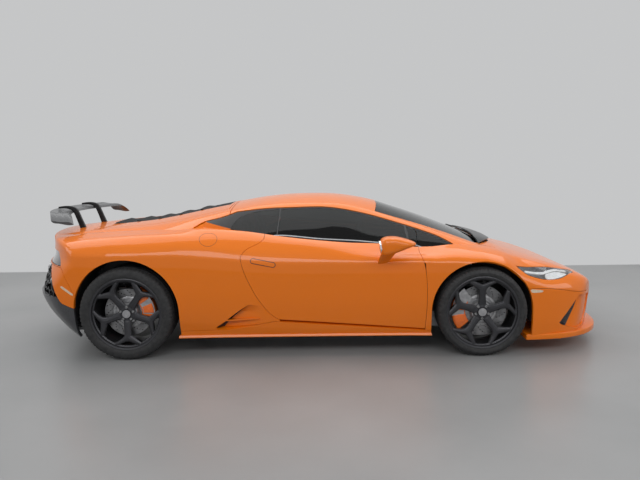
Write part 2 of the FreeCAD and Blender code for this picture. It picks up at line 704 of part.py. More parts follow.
def spoke(c, turn):
    """One forked spoke, drawn upright in the wheel's face and turned into place."""
    rim = RIM_RADIUS - RIM_WALL + 2
    outline = [(-SPOKE_ROOT, HUB_RADIUS - 10), (-SPOKE_NECK, FORK_RADIUS - 18), (-FORK_SPREAD, rim - 12),
               (-FORK_SPREAD + 24, rim - 4), (0, FORK_RADIUS + 26), (FORK_SPREAD - 24, rim - 4),
               (FORK_SPREAD, rim - 12), (SPOKE_NECK, FORK_RADIUS - 18), (SPOKE_ROOT, HUB_RADIUS - 10)]
    y = c.face_y - FACE_THICKNESS
    wire = Part.makePolygon([V(c.x + a, y, c.z + b) for a, b in outline + outline[:1]])
    arm = Part.Face(wire).extrude(V(0, FACE_THICKNESS, 0))
    arm.rotate(V(c.x, 0, c.z), V(0, 1, 0), turn)
    return arm


def make_rim(c, first_turn):
    inner_y = c.y - c.half_width + RIM_INSET
    rim = turned([(inner_y, RIM_RADIUS - RIM_WALL), (inner_y, RIM_RADIUS), (c.edge_y, RIM_RADIUS),
                  (c.edge_y, RIM_RADIUS - RIM_WALL)], c.x, c.z)
    hub = turned([(c.hub_back_y, HUB_BORE), (c.hub_back_y, HUB_RADIUS), (c.face_y, HUB_RADIUS),
                  (c.face_y, HUB_BORE)], c.x, c.z)
    return fuse([rim, hub] + [spoke(c, first_turn + 360.0 / SPOKES * k) for k in range(SPOKES)])


def make_disc(c):
    h = DISC_THICKNESS / 2
    hat = c.disc_y + HAT_DEPTH
    return turned([(c.disc_y - h, HUB_BORE), (c.disc_y - h, c.disc_radius), (c.disc_y + h, c.disc_radius),
                   (c.disc_y + h, HAT_RADIUS), (hat, HAT_RADIUS), (hat, HUB_BORE)], c.x, c.z)


def make_upright(c, turn, reach):
    """Upright with wheel pin, upper and lower pins and the caliper over the disc's edge."""
    h = DISC_THICKNESS / 2 + CALIPER_CLEARANCE
    block = box(c.x - 45, c.x + 45, c.upright_y - UPRIGHT_THICKNESS, c.upright_y, c.z - 92, c.z + 92)
    axle = tube_y(HUB_BORE - SEAT_GAP, c.x, c.upright_y - 10, c.face_y - 8, c.z)
    pins = tube_z(PIN_RADIUS, c.x, c.pin_y, c.z - reach, c.z + reach)
    outer = c.disc_radius + 26
    inner = c.disc_radius - 62
    y = c.disc_y
    ring = turned([(y - h - 26, inner), (y - h - 26, outer), (y + h + 24, outer), (y + h + 24, inner),
                   (y + h, inner), (y + h, c.disc_radius + 6), (y - h, c.disc_radius + 6), (y - h, inner)], c.x, c.z)
    bracket = turned([(y - h - 26, 30), (y - h - 26, inner + 8), (y - h - 8, inner + 8), (y - h - 8, 30)], c.x, c.z)
    wedge = sector(c, y - 90, y + 90, CALIPER_ANGLE, turn, 300)
    thin = sector(c, y - 90, y + 90, CALIPER_ANGLE / 2, turn, 300)
    return fuse([block, axle, pins, ring.common(wedge), bracket.common(thin)])


def sector(c, y0, y1, angle, middle, radius):
    """Wedge about the wheel's axis; its middle is turned from straight up towards the front."""
    a = Part.makeCylinder(radius, y1 - y0, V(0, 0, 0), V(0, 0, 1), angle)
    a.rotate(V(0, 0, 0), V(0, 0, 1), -angle / 2)
    a.rotate(V(0, 0, 0), V(1, 0, 0), -90)
    a.rotate(V(0, 0, 0), V(0, 1, 0), -90 + middle)
    a.translate(V(c.x, y0, c.z))
    return a


def make_arm(c, z, leg_spread, inner_y):
    """Wishbone: an eye round the upright's pin and two legs to the chassis."""
    eye = tube_z(PIN_RADIUS + EYE_WALL, c.x, c.pin_y, z - 13, z + 13)
    legs = [rod((c.x, c.pin_y, z), (c.x + dx, inner_y, z), 12) for dx in (-leg_spread, leg_spread)]
    bore = tube_z(PIN_RADIUS + SEAT_GAP, c.x, c.pin_y, z - 30, z + 30)
    return fuse([eye] + legs).cut(bore)


def make_liner(skins, axle_x, radius, tyre_radius, rise, inner_y):
    z = tyre_radius + rise
    drum = tube_y(radius + 8, axle_x, inner_y, 1000, z).cut(tube_y(radius + 2, axle_x, inner_y + 6, 1100, z))
    drum = drum.common(box(axle_x - 500, axle_x + 500, 0, 1000, z - 90, 1000))
    drum = drum.cut(box(axle_x - 160, axle_x + 160, inner_y - 10, inner_y + 14, 0, tyre_radius + WISHBONE_Z + 25))
    return largest(drum.common(skins.under_skin).cut(skins.shell))


def make_chassis(skins):
    """Tub with floor, sills, bulkheads and front luggage well, and the rear cradle."""
    floor = box(-900, 930, 0, TUB_HALF, FLOOR_HEIGHT, FLOOR_HEIGHT + 28)
    sill = box(-880, 930, TUB_HALF - 80, TUB_HALF, FLOOR_HEIGHT, 300)
    pillar = box(908, 932, 500, TUB_HALF, FLOOR_HEIGHT, 720)
    foot_side = box(908, 1180, 500, 528, FLOOR_HEIGHT, 720)
    foot_front = box(1152, 1180, 0, 528, FLOOR_HEIGHT, 760)
    foot_floor = box(908, 1180, 0, 528, FLOOR_HEIGHT, FLOOR_HEIGHT + 28)
    tub = box(1152, 1960, 0, 500, 160, 700).cut(box(1180, 1932, -10, 472, 188, 900))
    firewall = box(-640, -612, 0, TUB_HALF, FLOOR_HEIGHT, 1200)
    rail = box(-1960, -620, 400, 450, 190, 260)
    end = box(-1960, -1920, 0, 450, 190, 260)
    half = fuse([floor, sill, pillar, foot_side, foot_front, foot_floor, tub, firewall, rail, end])
    half = half.common(skins.tub_limit)
    pads = [tube_z(PAD_RADIUS, x, PAD_Y, PAD_Z, FLOOR_HEIGHT + 5) for x in PAD_XS]
    return whole(largest(fuse([half] + pads)))


def make_seats():
    def seat(y):
        side = slab_xz(y - SEAT_HALF, y + SEAT_HALF, (230, 200), [(215, 320)], [(150, 345)], [(-140, 285)],
                       [(-330, 700)], [(-400, 950)], [(-450, 985)], [(-500, 950)],
                       [(-470, 700)], [(-330, 180)], [(200, 165)])
        return side
    base = box(-300, 190, SEAT_Y - 190, SEAT_Y + 190, FLOOR_HEIGHT + 28 + SEAT_GAP, 175)
    return pair(fuse([seat(SEAT_Y), base]))


def make_dashboard():
    side = slab_xz(-690, 690, (908 - SEAT_GAP, 560), [(908 - SEAT_GAP, 715)], [(860, 745), (700, 752)],
                   [(640, 720), (600, 640)], [(620, 560)])
    console = slab_xz(-110, 110, (800, 600), [(560, 560), (200, 330)], [(-200, 330)],
                      [(-200, FLOOR_HEIGHT + 28 + SEAT_GAP)], [(800, FLOOR_HEIGHT + 28 + SEAT_GAP)])
    hub, end = V(*WHEEL_HUB), V(*COLUMN_END)
    bottom = end - (hub - end).normalize() * COLUMN_END_ROOM
    bore = rod(bottom, hub, COLUMN_RADIUS + COLUMN_CLEARANCE)
    return fuse([side, console]).cut(bore)


def rim_ring(centre, axis):
    """Steering wheel rim with an eight-sided section."""
    side = V(0, 1, 0)
    corners = []
    for k in range(8):
        a = math.radians(22.5 + 45 * k)
        corners.append(centre + side * (176 + 15 * math.cos(a)) + axis * (15 * math.sin(a)))
    return Part.Face(Part.makePolygon(corners + corners[:1])).revolve(centre, axis, 360)


def make_steering_wheel():
    hub, end = V(*WHEEL_HUB), V(*COLUMN_END)
    axis = (hub - end).normalize()
    ring = rim_ring(hub, axis)
    boss = Part.makeCylinder(48, 40, hub - axis * 20, axis)
    column = rod(COLUMN_END, WHEEL_HUB, COLUMN_RADIUS)
    across = V(0, 1, 0)
    spokes = [rod(hub, hub + across * s * 170, 11) for s in (-1, 1)]
    down = axis.cross(across)
    spokes.append(rod(hub, hub + down * (-170 if down.z > 0 else 170), 11))
    return fuse([ring, boss, column] + spokes)


def make_mirror():
    """Door mirror: a rounded housing on a slim foot."""
    outline = [(556, 838), (566, 884), (632, 908), (728, 892), (800, 856), (752, 822), (650, 786), (572, 790)]
    middle = V(660, 0, 848)

    def section(y):
        size = along([(MIRROR_Y - 88, 0.45), (MIRROR_Y - 50, 0.86), (MIRROR_Y, 1.0), (MIRROR_Y + 50, 0.92),
                      (MIRROR_Y + 80, 0.55)], y)
        return [V(middle.x + (x - middle.x) * size, y, middle.z + (z - middle.z) * size) for x, z in outline]
    head = skinned(section, steps(MIRROR_Y - 88, MIRROR_Y + 80, 7))
    foot = slab_xz(895, MIRROR_Y - 40, (560, 700), [(600, 800)], [(668, 800)], [(640, 700)])
    return fuse([head, foot])


def make_engine():
    return box(-1300, -700, -400 + SEAT_GAP, 400 - SEAT_GAP, 190, 620)


def place(shape):
    """Move a piece so that the origin lies under the middle of the overall length."""
    moved = shape.copy()
    moved.translate(V(-MIDDLE_X, 0, 0))
    return moved


def build():
    skins = Skins()
    glass = make_glass(skins)
    front = Corner(FRONT_AXLE_X, FRONT_TRACK, FRONT_TYRE_WIDTH, FRONT_TYRE_RADIUS, FRONT_DISC_RADIUS)
    rear = Corner(REAR_AXLE_X, REAR_TRACK, REAR_TYRE_WIDTH, REAR_TYRE_RADIUS, REAR_DISC_RADIUS)
    door = largest(skins.hull.common(door_slab(y0=DOOR_INNER_Y)))
    mirror_left = make_mirror().cut(skins.lifted)
    mirror_left = largest(mirror_left)
    parts = {
        "chassis": make_chassis(skins),
        "roof": make_roof(skins),
        "rear_quarters": make_quarter(skins),
        "sills": make_sills(skins),
        "front_wings": pair(make_wing(skins)),
        "front_bumper": make_front_bumper(skins),
        "windscreen": whole(glass["screen"]),
        "fixed_glass": Part.makeCompound(list(pair(glass["rear"]).Solids) + list(pair(glass["front"]).Solids)),
        "cowl": make_cowl(skins),
        "grilles": make_grilles(skins),
        "headlamps": make_headlamps(skins),
        "rear_bumper": make_rear_bumper(skins),
        "rear_diffuser": make_diffuser(skins),
        "tail_lamps": make_tail_lamps(skins),
        "exhaust_tips": make_exhausts(),
        "rear_wing": make_rear_wing(skins),
        "wheel_liners": Part.makeCompound(
            list(pair(make_liner(skins, FRONT_AXLE_X, FRONT_ARCH_RADIUS, FRONT_TYRE_RADIUS, ARCH_RISE, 536)).Solids)
            + list(pair(make_liner(skins, REAR_AXLE_X, REAR_ARCH_RADIUS, REAR_TYRE_RADIUS, ARCH_RISE + 6,
                                   600)).Solids)),
        "seats": make_seats(),
        "dashboard": make_dashboard(),
        "engine_block": make_engine(),
        "wishbones": pair_all([make_arm(front, front.z + s * WISHBONE_Z, 110, 520) for s in (-1, 1)]
                              + [make_arm(rear, rear.z + s * WISHBONE_Z, 150, 462) for s in (-1, 1)]),
        "rear_uprights": pair(make_upright(rear, 62, 150)),
        "bonnet": make_bonnet(skins),
        "engine_cover": make_engine_cover(skins),
        "door_left": door,
        "door_glass_left": glass["door"],
        "mirror_left": mirror_left,
        "upright_left": make_upright(front, -68, 150),
        "steering_wheel": make_steering_wheel(),
    }
    for name, corner, turn in (("front", front, 0), ("rear", rear, 36)):
        parts["tyre_%s_left" % name] = make_tyre(corner)
        parts["rim_%s_left" % name] = make_rim(corner, turn)
        parts["disc_%s_left" % name] = make_disc(corner)
    for name in list(parts):
        if name.endswith("_left"):
            parts[name[:-5] + "_right"] = mirror(parts[name])
    return parts


def pair_all(lefts):
    solids = []
    for left in lefts:
        solids += list(pair(left).Solids)
    return Part.makeCompound(solids)


if __name__ == "__main__":
    os.makedirs("parts", exist_ok=True)
    for name, shape in build().items():
        place(shape).exportStep("parts/%s.step" % name)
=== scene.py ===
"""Looks of the sports car: smooth panels, glass, lamps, wheels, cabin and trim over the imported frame.

The body's curves are the ones of the part's source, in millimetres from the middle of the
wheelbase. place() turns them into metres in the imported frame.
"""
import math

import bmesh
import bpy
import numpy as np
from mathutils import Matrix, Vector


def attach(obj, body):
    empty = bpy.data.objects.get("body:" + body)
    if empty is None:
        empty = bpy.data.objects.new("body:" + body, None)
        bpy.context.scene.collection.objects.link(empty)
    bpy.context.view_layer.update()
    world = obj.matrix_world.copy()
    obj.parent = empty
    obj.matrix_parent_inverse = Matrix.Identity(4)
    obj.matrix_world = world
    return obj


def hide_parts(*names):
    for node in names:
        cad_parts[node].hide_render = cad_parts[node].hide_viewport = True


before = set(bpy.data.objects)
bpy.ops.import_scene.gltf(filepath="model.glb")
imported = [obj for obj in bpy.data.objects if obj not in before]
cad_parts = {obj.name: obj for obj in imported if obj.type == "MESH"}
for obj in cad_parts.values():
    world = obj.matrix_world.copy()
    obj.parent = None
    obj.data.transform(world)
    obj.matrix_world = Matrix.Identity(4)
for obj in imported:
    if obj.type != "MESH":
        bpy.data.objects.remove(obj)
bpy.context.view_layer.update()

# Sizes, in millimetres
MIDDLE_X = 80.0
AXLE_X = 1310.0
BODY_BOTTOM = 145.0
ROOF_HEIGHT = 1168.0
HALF_WIDTH = 966.0
REAR_END = -2200.0
ARCH_CENTRES_AND_RADII = ((AXLE_X, 335.5, 370.0), (-AXLE_X, 359.5, 392.0))
SHUT_GAP = 5.5
SCREEN_FIT = 3.0
PANE_GAP = 3.0
SKIN = 20.0
PANE = 5.0
LINER = 4.0
TRIM = 3.0
FILM = 2.0
GLASS_INSET = 2.0
DOOR_INNER_Y = 812.0
FILLET = 26.0
CANOPY_FRONT = 1440.0
CANOPY_REAR = -2290.0
ROOF_POWER = 2.2
BASE_OUT, BASE_DOWN = 12, 60
BULGE = 13
SPINE = [(-1650, 520), (1750, 420)]
CELL = 17.0
FAR = 2600.0

HULL_COLUMNS = {
    0: [(-2400, 800), (-2150, 893), (-1860, 900), (-764, 940), (1139, 850), (1330, 822), (1460, 795),
        (1610, 738), (1756, 686), (1884, 645), (2080, 580), (2195, 525), (2290, 455), (2400, 350)],
    380: [(-2400, 795), (-2150, 885), (-1860, 900), (-764, 940), (1139, 840), (1330, 812), (1460, 785),
          (1610, 730), (1756, 682), (1884, 643), (2080, 580), (2195, 525), (2290, 455), (2400, 350)],
    620: [(-2400, 740), (-2100, 862), (-1900, 890), (-1600, 918), (-1310, 930), (-764, 955), (-201, 920),
          (1139, 825), (1310, 795), (1460, 768), (1610, 716), (1756, 672), (1884, 640), (2080, 572),
          (2200, 508), (2300, 425), (2400, 330)],
    730: [(-2400, 650), (-2100, 820), (-1900, 872), (-1600, 905), (-1310, 920), (-950, 935), (-764, 950),
          (-481, 930), (-201, 897), (125, 864), (551, 826), (799, 798), (960, 792), (1139, 800), (1310, 784),
          (1460, 758), (1610, 703), (1756, 662), (1884, 622), (2080, 540), (2200, 465), (2400, 290)],
    820: [(-2400, 560), (-2100, 755), (-1900, 838), (-1600, 890), (-1310, 910), (-950, 918), (-764, 912),
          (-481, 884), (-201, 856), (125, 826), (551, 774), (799, 754), (960, 760), (1139, 775), (1310, 768),
          (1460, 738), (1610, 662), (1756, 596), (1884, 548), (2080, 458), (2400, 220)],
    900: [(-2400, 450), (-2100, 650), (-1900, 762), (-1600, 842), (-1310, 866), (-950, 866), (-764, 850),
          (-481, 800), (-201, 763), (125, 742), (551, 731), (960, 732), (1139, 742), (1310, 738), (1460, 702),
          (1610, 604), (1756, 522), (1884, 462), (2400, 140)],
    985: [(-2400, 300), (-2100, 510), (-1900, 640), (-1600, 735), (-1310, 768), (-950, 765), (-764, 745),
          (-481, 690), (-201, 655), (125, 645), (960, 648), (1139, 660), (1310, 660), (1460, 615),
          (1610, 505), (1884, 350), (2400, 60)],
}
PLAN = [(-2400, 640), (-2250, 735), (-2070, 812), (-1950, 862), (-1750, 922), (-1550, 953),
        (-1310, HALF_WIDTH), (-1000, 958), (-650, 937), (-250, 921), (250, 914), (750, 918), (1000, 932),
        (1310, 952), (1550, 944), (1750, 912), (1950, 852), (2100, 782), (2200, 715), (2310, 600),
        (2450, 400)]
KNEE = [(-2400, 740), (-1800, 765), (-1310, 770), (-950, 765), (-600, 735), (-200, 700), (300, 690),
        (900, 690), (1310, 700), (1500, 650), (1700, 560), (1900, 500), (2100, 420), (2400, 360)]
LEAN = [(-700, 90), (-560, 52), (-480, 26), (-380, 10), (-250, 0), (-120, 0), (0, 8), (70, 34), (140, 80),
        (260, 170), (420, 300)]
NOSE = [(0, 2330), (250, 2322), (450, 2282), (600, 2216), (750, 2122), (900, 1990), (1060, 1820)]
NOSE_SET_BACK = [(60, 40), (150, 26), (300, 8), (420, 0), (520, 6), (700, 30), (1000, 60)]
TAIL = [(0, REAR_END), (300, -2176), (500, -2122), (620, -2070), (750, -1990), (850, -1905), (960, -1780),
        (1060, -1640)]
TAIL_SET_BACK = [(60, 330), (124, 250), (250, 120), (374, 30), (462, 0), (560, 20), (674, 73), (760, 120),
                 (866, 130), (960, 110), (1100, 110)]
ROOF_LINE = [(-2300, 845), (-2150, 893), (-1860, 925), (-1553, 952), (-1376, 968), (-1243, 984),
             (-1083, 1012), (-820, 1066), (-571, 1110), (-287, 1152), (-87, 1166), (60, ROOF_HEIGHT),
             (200, 1164), (340, 1150), (469, 1128), (589, 1100), (719, 1058), (918, 990), (1119, 915),
             (1330, 830), (1500, 762)]
FOLD_Y = [(-2300, 470), (-1600, 520), (-1250, 545), (-950, 560), (-571, 560), (-284, 520), (203, 508),
          (483, 515), (660, 545), (916, 598), (1139, 655), (1386, 700), (1500, 720)]
FOLD_Z = [(-2300, 800), (-2050, 880), (-1600, 930), (-1250, 952), (-950, 992), (-571, 1066), (-284, 1104),
          (-59, 1114), (203, 1110), (340, 1094), (483, 1058), (660, 1002), (916, 924), (1139, 850),
          (1386, 765), (1500, 725)]
BASE_Y = [(-2300, 640), (-1600, 770), (-1250, 790), (-950, 780), (-764, 775), (-481, 790), (-201, 812),
          (125, 820), (551, 812), (799, 803), (922, 790), (1139, 752), (1386, 740), (1500, 760)]
BASE_Z = [(-2300, 760), (-2050, 850), (-1600, 900), (-1250, 925), (-950, 950), (-764, 950), (-481, 912),
          (-201, 866), (125, 826), (551, 778), (799, 756), (922, 762), (1139, 795), (1386, 735),
          (1500, 700)]


# Curves and forms
def tangents(slopes):
    """Tangents of the smooth curve at its points, from the slopes between them."""
    before, after = slopes[:-1], slopes[1:]
    total = np.where(before + after == 0, 1, before + after)
    inner = np.where(before * after > 0, 2 * before * after / total, 0)
    return np.concatenate([slopes[:1], inner, slopes[-1:]])


def hermite(y0, y1, m0, m1, h, s):
    return (y0 * (1 + 2 * s) * (1 - s) ** 2 + y1 * s * s * (3 - 2 * s)
            + h * (m0 * s * (1 - s) ** 2 + m1 * s * s * (s - 1)))


def along(points, t):
    """Values at t of the smooth curve through (position, value) points, without overshoot."""
    xs = np.array([p[0] for p in points], float)
    ys = np.array([p[1] for p in points], float)
    m = tangents(np.diff(ys) / np.diff(xs))
    t = np.clip(t, xs[0], xs[-1])
    i = np.clip(np.searchsorted(xs, t, side="right") - 1, 0, len(xs) - 2)
    h = xs[i + 1] - xs[i]
    return hermite(ys[i], ys[i + 1], m[i], m[i + 1], h, (t - xs[i]) / h)


def hull_top(x, y):
    columns = np.array(list(HULL_COLUMNS), float)
    values = np.array([along(line, x) for line in HULL_COLUMNS.values()])
    m = tangents(np.diff(values, axis=0) / np.diff(columns)[:, None])
    t = np.clip(np.abs(y), columns[0], columns[-1])
    i = np.clip(np.searchsorted(columns, t, side="right") - 1, 0, len(columns) - 2)
    k = np.arange(len(t))
    h = columns[i + 1] - columns[i]
    return hermite(values[i, k], values[i + 1, k], m[i, k], m[i + 1, k], h, (t - columns[i]) / h)


def hull_side(x, z):
    return along(PLAN, x) - along(LEAN, z - along(KNEE, x))


def smooth_max(a, b, width):
    return np.maximum(a, b) + width / 4 * np.maximum(0, 1 - np.abs(a - b) / width) ** 2


def tail_end(p):
    """Below zero in front of the tail's surface."""
    return along(TAIL, np.abs(p[:, 1])) + along(TAIL_SET_BACK, p[:, 2]) - p[:, 0]


def hull(p):
    """Below zero inside the hull."""
    x, y, z = p[:, 0], np.abs(p[:, 1]), p[:, 2]
    sides = smooth_max(z - hull_top(x, y), y - hull_side(x, z), FILLET)
    nose = x - along(NOSE, y) + along(NOSE_SET_BACK, z)
    return smooth_max(sides, np.maximum(nose, tail_end(p)), FILLET)


def canopy_line(x, count):
    """Half section of the canopy at each x: count points from the centre line down the side."""
    fold_y, fold_z = along(FOLD_Y, x), along(FOLD_Z, x)
    base_y, base_z = along(BASE_Y, x), along(BASE_Z, x)
    centre = along(ROOF_LINE, x)
    share = np.linspace(0, 1, 40)[:, None]
    roof = np.stack([share * fold_y, centre - (centre - fold_z) * share ** ROOF_POWER], -1)
    low_y, low_z = base_y + BASE_OUT, base_z - BASE_DOWN
    s = np.linspace(0, 1, 24)[1:, None]
    bulge = 4 * s * (1 - s) * BULGE
    side = np.stack([fold_y + (low_y - fold_y) * s + bulge,
                     fold_z + (low_z - fold_z) * s + bulge * 0.3], -1)
    line = np.concatenate([roof, side])
    for _ in range(3):
        line[30:52] = (line[29:51] + 2 * line[30:52] + line[31:53]) / 4
    steps = np.linalg.norm(np.diff(line, axis=0), axis=-1)
    length = np.concatenate([np.zeros((1, len(x))), np.cumsum(steps, axis=0)])
    result = np.empty((count, len(x), 2))
    for k in range(len(x)):
        at = np.linspace(0, length[-1, k], count)
        result[:, k, 0] = np.interp(at, length[:, k], line[:, k, 0])
        result[:, k, 1] = np.interp(at, length[:, k], line[:, k, 1])
    return result


def canopy(p):
    """Below zero inside the canopy, measured upward and outward from its section."""
    x, y, z = p[:, 0], np.abs(p[:, 1]), p[:, 2]
    fold_y, fold_z = along(FOLD_Y, x), along(FOLD_Z, x)
    centre = along(ROOF_LINE, x)
    roof = z - (centre - (centre - fold_z) * np.clip(y / fold_y, 0, 3) ** ROOF_POWER)
    low_y, low_z = along(BASE_Y, x) + BASE_OUT, along(BASE_Z, x) - BASE_DOWN
    s = np.clip((fold_z - z) / (fold_z - low_z), 0, 1)
    side = y - (fold_y + (low_y - fold_y) * s + 4 * BULGE * s * (1 - s))
    return np.maximum(smooth_max(roof, side, 12), x - CANOPY_FRONT)


class Mesh:
    """Triangles with a surface normal at every point, in the source's millimetres."""

    def __init__(self, points, normals, faces):
        self.points, self.normals, self.faces = points, normals, faces

    def kept(self, values):
        """The part where the values are above zero, cut exactly along the zero line."""
        p, n, f = self.points, self.normals, self.faces
        inside = values > 0
        count = inside[f].sum(1)
        cut = f[(count == 1) | (count == 2)]
        flags = inside[cut]
        lone = flags.sum(1) == 1
        first = np.where(lone[:, None], flags, ~flags).argmax(1)
        row = np.arange(len(cut))
        a, b, c = (cut[row, (first + k) % 3] for k in range(3))
        edges = np.sort(np.concatenate([np.stack([a, b], 1), np.stack([a, c], 1)]), axis=1)
        edges, index = np.unique(edges, axis=0, return_inverse=True)
        index = index.reshape(-1) + len(p)
        v0, v1 = values[edges[:, 0]], values[edges[:, 1]]
        t = (v0 / (v0 - v1))[:, None]
        p = np.concatenate([p, p[edges[:, 0]] * (1 - t) + p[edges[:, 1]] * t])
        n = np.concatenate([n, n[edges[:, 0]] * (1 - t) + n[edges[:, 1]] * t])
        ab, ac = index[:len(cut)], index[len(cut):]
        faces = [f[count == 3], np.stack([a, ab, ac], 1)[lone], np.stack([ab, b, c], 1)[~lone],
                 np.stack([ab, c, ac], 1)[~lone]]
        return Mesh(p, n, np.concatenate(faces)).tidy()

    def tidy(self):
        """Joins points that lie together, drops empty triangles and unused points."""
        key = np.round(self.points / 0.05).astype(np.int64)
        _, first, index = np.unique(key, axis=0, return_index=True, return_inverse=True)
        f = index.reshape(-1)[self.faces]
        good = (f[:, 0] != f[:, 1]) & (f[:, 1] != f[:, 2]) & (f[:, 0] != f[:, 2])
        f = f[good]
        used, f = np.unique(f, return_inverse=True)
        return Mesh(self.points[first][used], self.normals[first][used], f.reshape(-1, 3))

    def mirrored(self):
        flip = np.array([1, -1, 1])
        return Mesh(self.points * flip, self.normals * flip, self.faces[:, ::-1])

    def both(self):
        """With its mirror image, joined where they meet on the centre line."""
        return joined(self, self.mirrored()).tidy()

    def moved(self, distance):
        return Mesh(self.points + self.normals * distance, self.normals, self.faces)

    def refined(self, times=1):
        """With every triangle cut in four at the middles of its edges."""
        mesh = self
        for _ in range(times):
            f, count = mesh.faces, len(mesh.points)
            edges = np.sort(np.concatenate([f[:, [0, 1]], f[:, [1, 2]], f[:, [2, 0]]]), axis=1)
            edges, index = np.unique(edges, axis=0, return_inverse=True)
            ab, bc, ca = index.reshape(3, -1) + count
            a, b, c = f.T
            faces = [np.stack(k, 1) for k in ((a, ab, ca), (ab, b, bc), (ca, bc, c), (ab, bc, ca))]
            mesh = Mesh(np.concatenate([mesh.points, mesh.points[edges].mean(1)]),
                        np.concatenate([mesh.normals, mesh.normals[edges].mean(1)]),
                        np.concatenate(faces))
        return mesh

    def sunk(self, depth):
        """Moved inward by a depth for each point, with new normals."""
        points = self.points - self.normals * np.reshape(depth, (-1, 1))
        corners = points[self.faces]
        facing = np.cross(corners[:, 1] - corners[:, 0], corners[:, 2] - corners[:, 0])
        normals = np.zeros_like(points)
        for k in range(3):
            np.add.at(normals, self.faces[:, k], facing)
        length = np.maximum(np.linalg.norm(normals, axis=1), 1e-9)
        return Mesh(points, normals / length[:, None], self.faces)

    def within(self, *regions):
        mesh = self
        for region in regions:
            mesh = mesh.kept(region(mesh.points))
        return mesh

    def without(self, *regions, gap=0.0):
        mesh = self
        for region in regions:
            mesh = mesh.kept(-region(mesh.points) - gap)
        return mesh


def joined(*meshes):
    """Several meshes as one."""
    starts = np.cumsum([0] + [len(mesh.points) for mesh in meshes[:-1]])
    return Mesh(np.concatenate([mesh.points for mesh in meshes]),
                np.concatenate([mesh.normals for mesh in meshes]),
                np.concatenate([mesh.faces + start for mesh, start in zip(meshes, starts)]))


def normals_of(form, points):
    """Outward normals of a form that is below zero inside."""
    step = 2.0
    slope = [form(points + step * axis) - form(points - step * axis) for axis in np.eye(3)]
    slope = np.stack(slope, 1)
    return slope / np.maximum(np.linalg.norm(slope, axis=1), 1e-9)[:, None]


def grid_faces(rows, columns):
    k = np.arange(rows * columns).reshape(rows, columns)
    a, b, c, d = (part.reshape(-1) for part in (k[:-1, :-1], k[:-1, 1:], k[1:, 1:], k[1:, :-1]))
    return np.concatenate([np.stack([a, b, c], 1), np.stack([a, c, d], 1)])


def outward(mesh):
    """Turns the triangles so that they face along the normals."""
    p = mesh.points[mesh.faces]
    facing = np.cross(p[:, 1] - p[:, 0], p[:, 2] - p[:, 0])
    wrong = (facing * mesh.normals[mesh.faces[:, 0]]).sum(1) < 0
    mesh.faces[wrong] = mesh.faces[wrong][:, ::-1]
    return mesh


def make_hull():
    """Left half of the hull, found along rays from a line inside it."""
    fan = np.radians(np.linspace(90, 0, 46))[:-1]
    spine = np.arange(SPINE[0][0], SPINE[1][0] + 1, CELL)
    x = np.concatenate([np.full(len(fan), spine[0]), spine, np.full(len(fan), spine[-1])])
    tilt = np.concatenate([-fan, np.zeros(len(spine)), fan[::-1]])
    fine, coarse = np.linspace(0, 114, 109), np.linspace(118, 180, 18)
    turn = np.radians(np.concatenate([fine, coarse]))
    columns = len(turn)
    x, turn = np.meshgrid(x, turn, indexing="ij")
    tilt = np.repeat(tilt, turn.shape[1])
    x, turn = x.reshape(-1), turn.reshape(-1)
    origins = np.stack([x, 0 * x, along(SPINE, x)], 1)
    rays = np.stack([np.sin(tilt), np.cos(tilt) * np.sin(turn), np.cos(tilt) * np.cos(turn)], 1)
    low, high = np.zeros(len(x)), np.full(len(x), 1600.0)
    for _ in range(24):
        middle = (low + high) / 2
        inside = hull(origins + rays * middle[:, None]) < 0
        low, high = np.where(inside, middle, low), np.where(inside, high, middle)
    points = origins + rays * low[:, None]
    faces = grid_faces(len(x) // columns, columns)
    return outward(Mesh(points, normals_of(hull, points), faces).tidy())


def make_canopy():
    """Left half of the canopy."""
    x = np.arange(CANOPY_REAR, CANOPY_FRONT, CELL)
    line = canopy_line(x, 64)
    points = np.stack([np.broadcast_to(x, line.shape[:2]), line[..., 0], line[..., 1]], -1)
    du = np.gradient(points, axis=0)
    dv = np.gradient(points, axis=1)
    normals = np.cross(du, dv)
    normals /= np.linalg.norm(normals, axis=-1)[..., None]
    normals[normals[..., 2] < 0] *= -1
    return outward(Mesh(points.reshape(-1, 3), normals.reshape(-1, 3), grid_faces(*line.shape[:2])))


# Regions: above zero inside, measured as a distance in a projection
def spline(points, count=14):
    """Points on the smooth curve through the given ones."""
    p = np.array(points, float)
    if len(p) == 2:
        return p
    h = np.linalg.norm(np.diff(p, axis=0), axis=1)
    n = len(p)
    a, r = np.zeros((n, n)), np.zeros((n, 2))
    a[0, 0] = a[-1, -1] = 1
    for i in range(1, n - 1):
        a[i, i - 1:i + 2] = h[i - 1], 2 * (h[i - 1] + h[i]), h[i]
        r[i] = 6 * ((p[i + 1] - p[i]) / h[i] - (p[i] - p[i - 1]) / h[i - 1])
    m = np.linalg.solve(a, r)
    result = []
    for i in range(n - 1):
        t = np.linspace(0, h[i], count)[:, None]
        u = h[i] - t
        result.append((m[i] * u ** 3 + m[i + 1] * t ** 3) / (6 * h[i])
                      + (p[i] / h[i] - m[i] * h[i] / 6) * u + (p[i + 1] / h[i] - m[i + 1] * h[i] / 6) * t)
    return np.concatenate(result)


def outline(start, *runs):
    """Closed outline. A run of one point is a straight line, a longer run a smooth curve."""
    points, at = [np.array([start], float)], start
    for run in list(runs) + [[start]]:
        points.append(spline([at] + list(run))[1:])
        at = run[-1]
    return np.concatenate(points)[:-1]


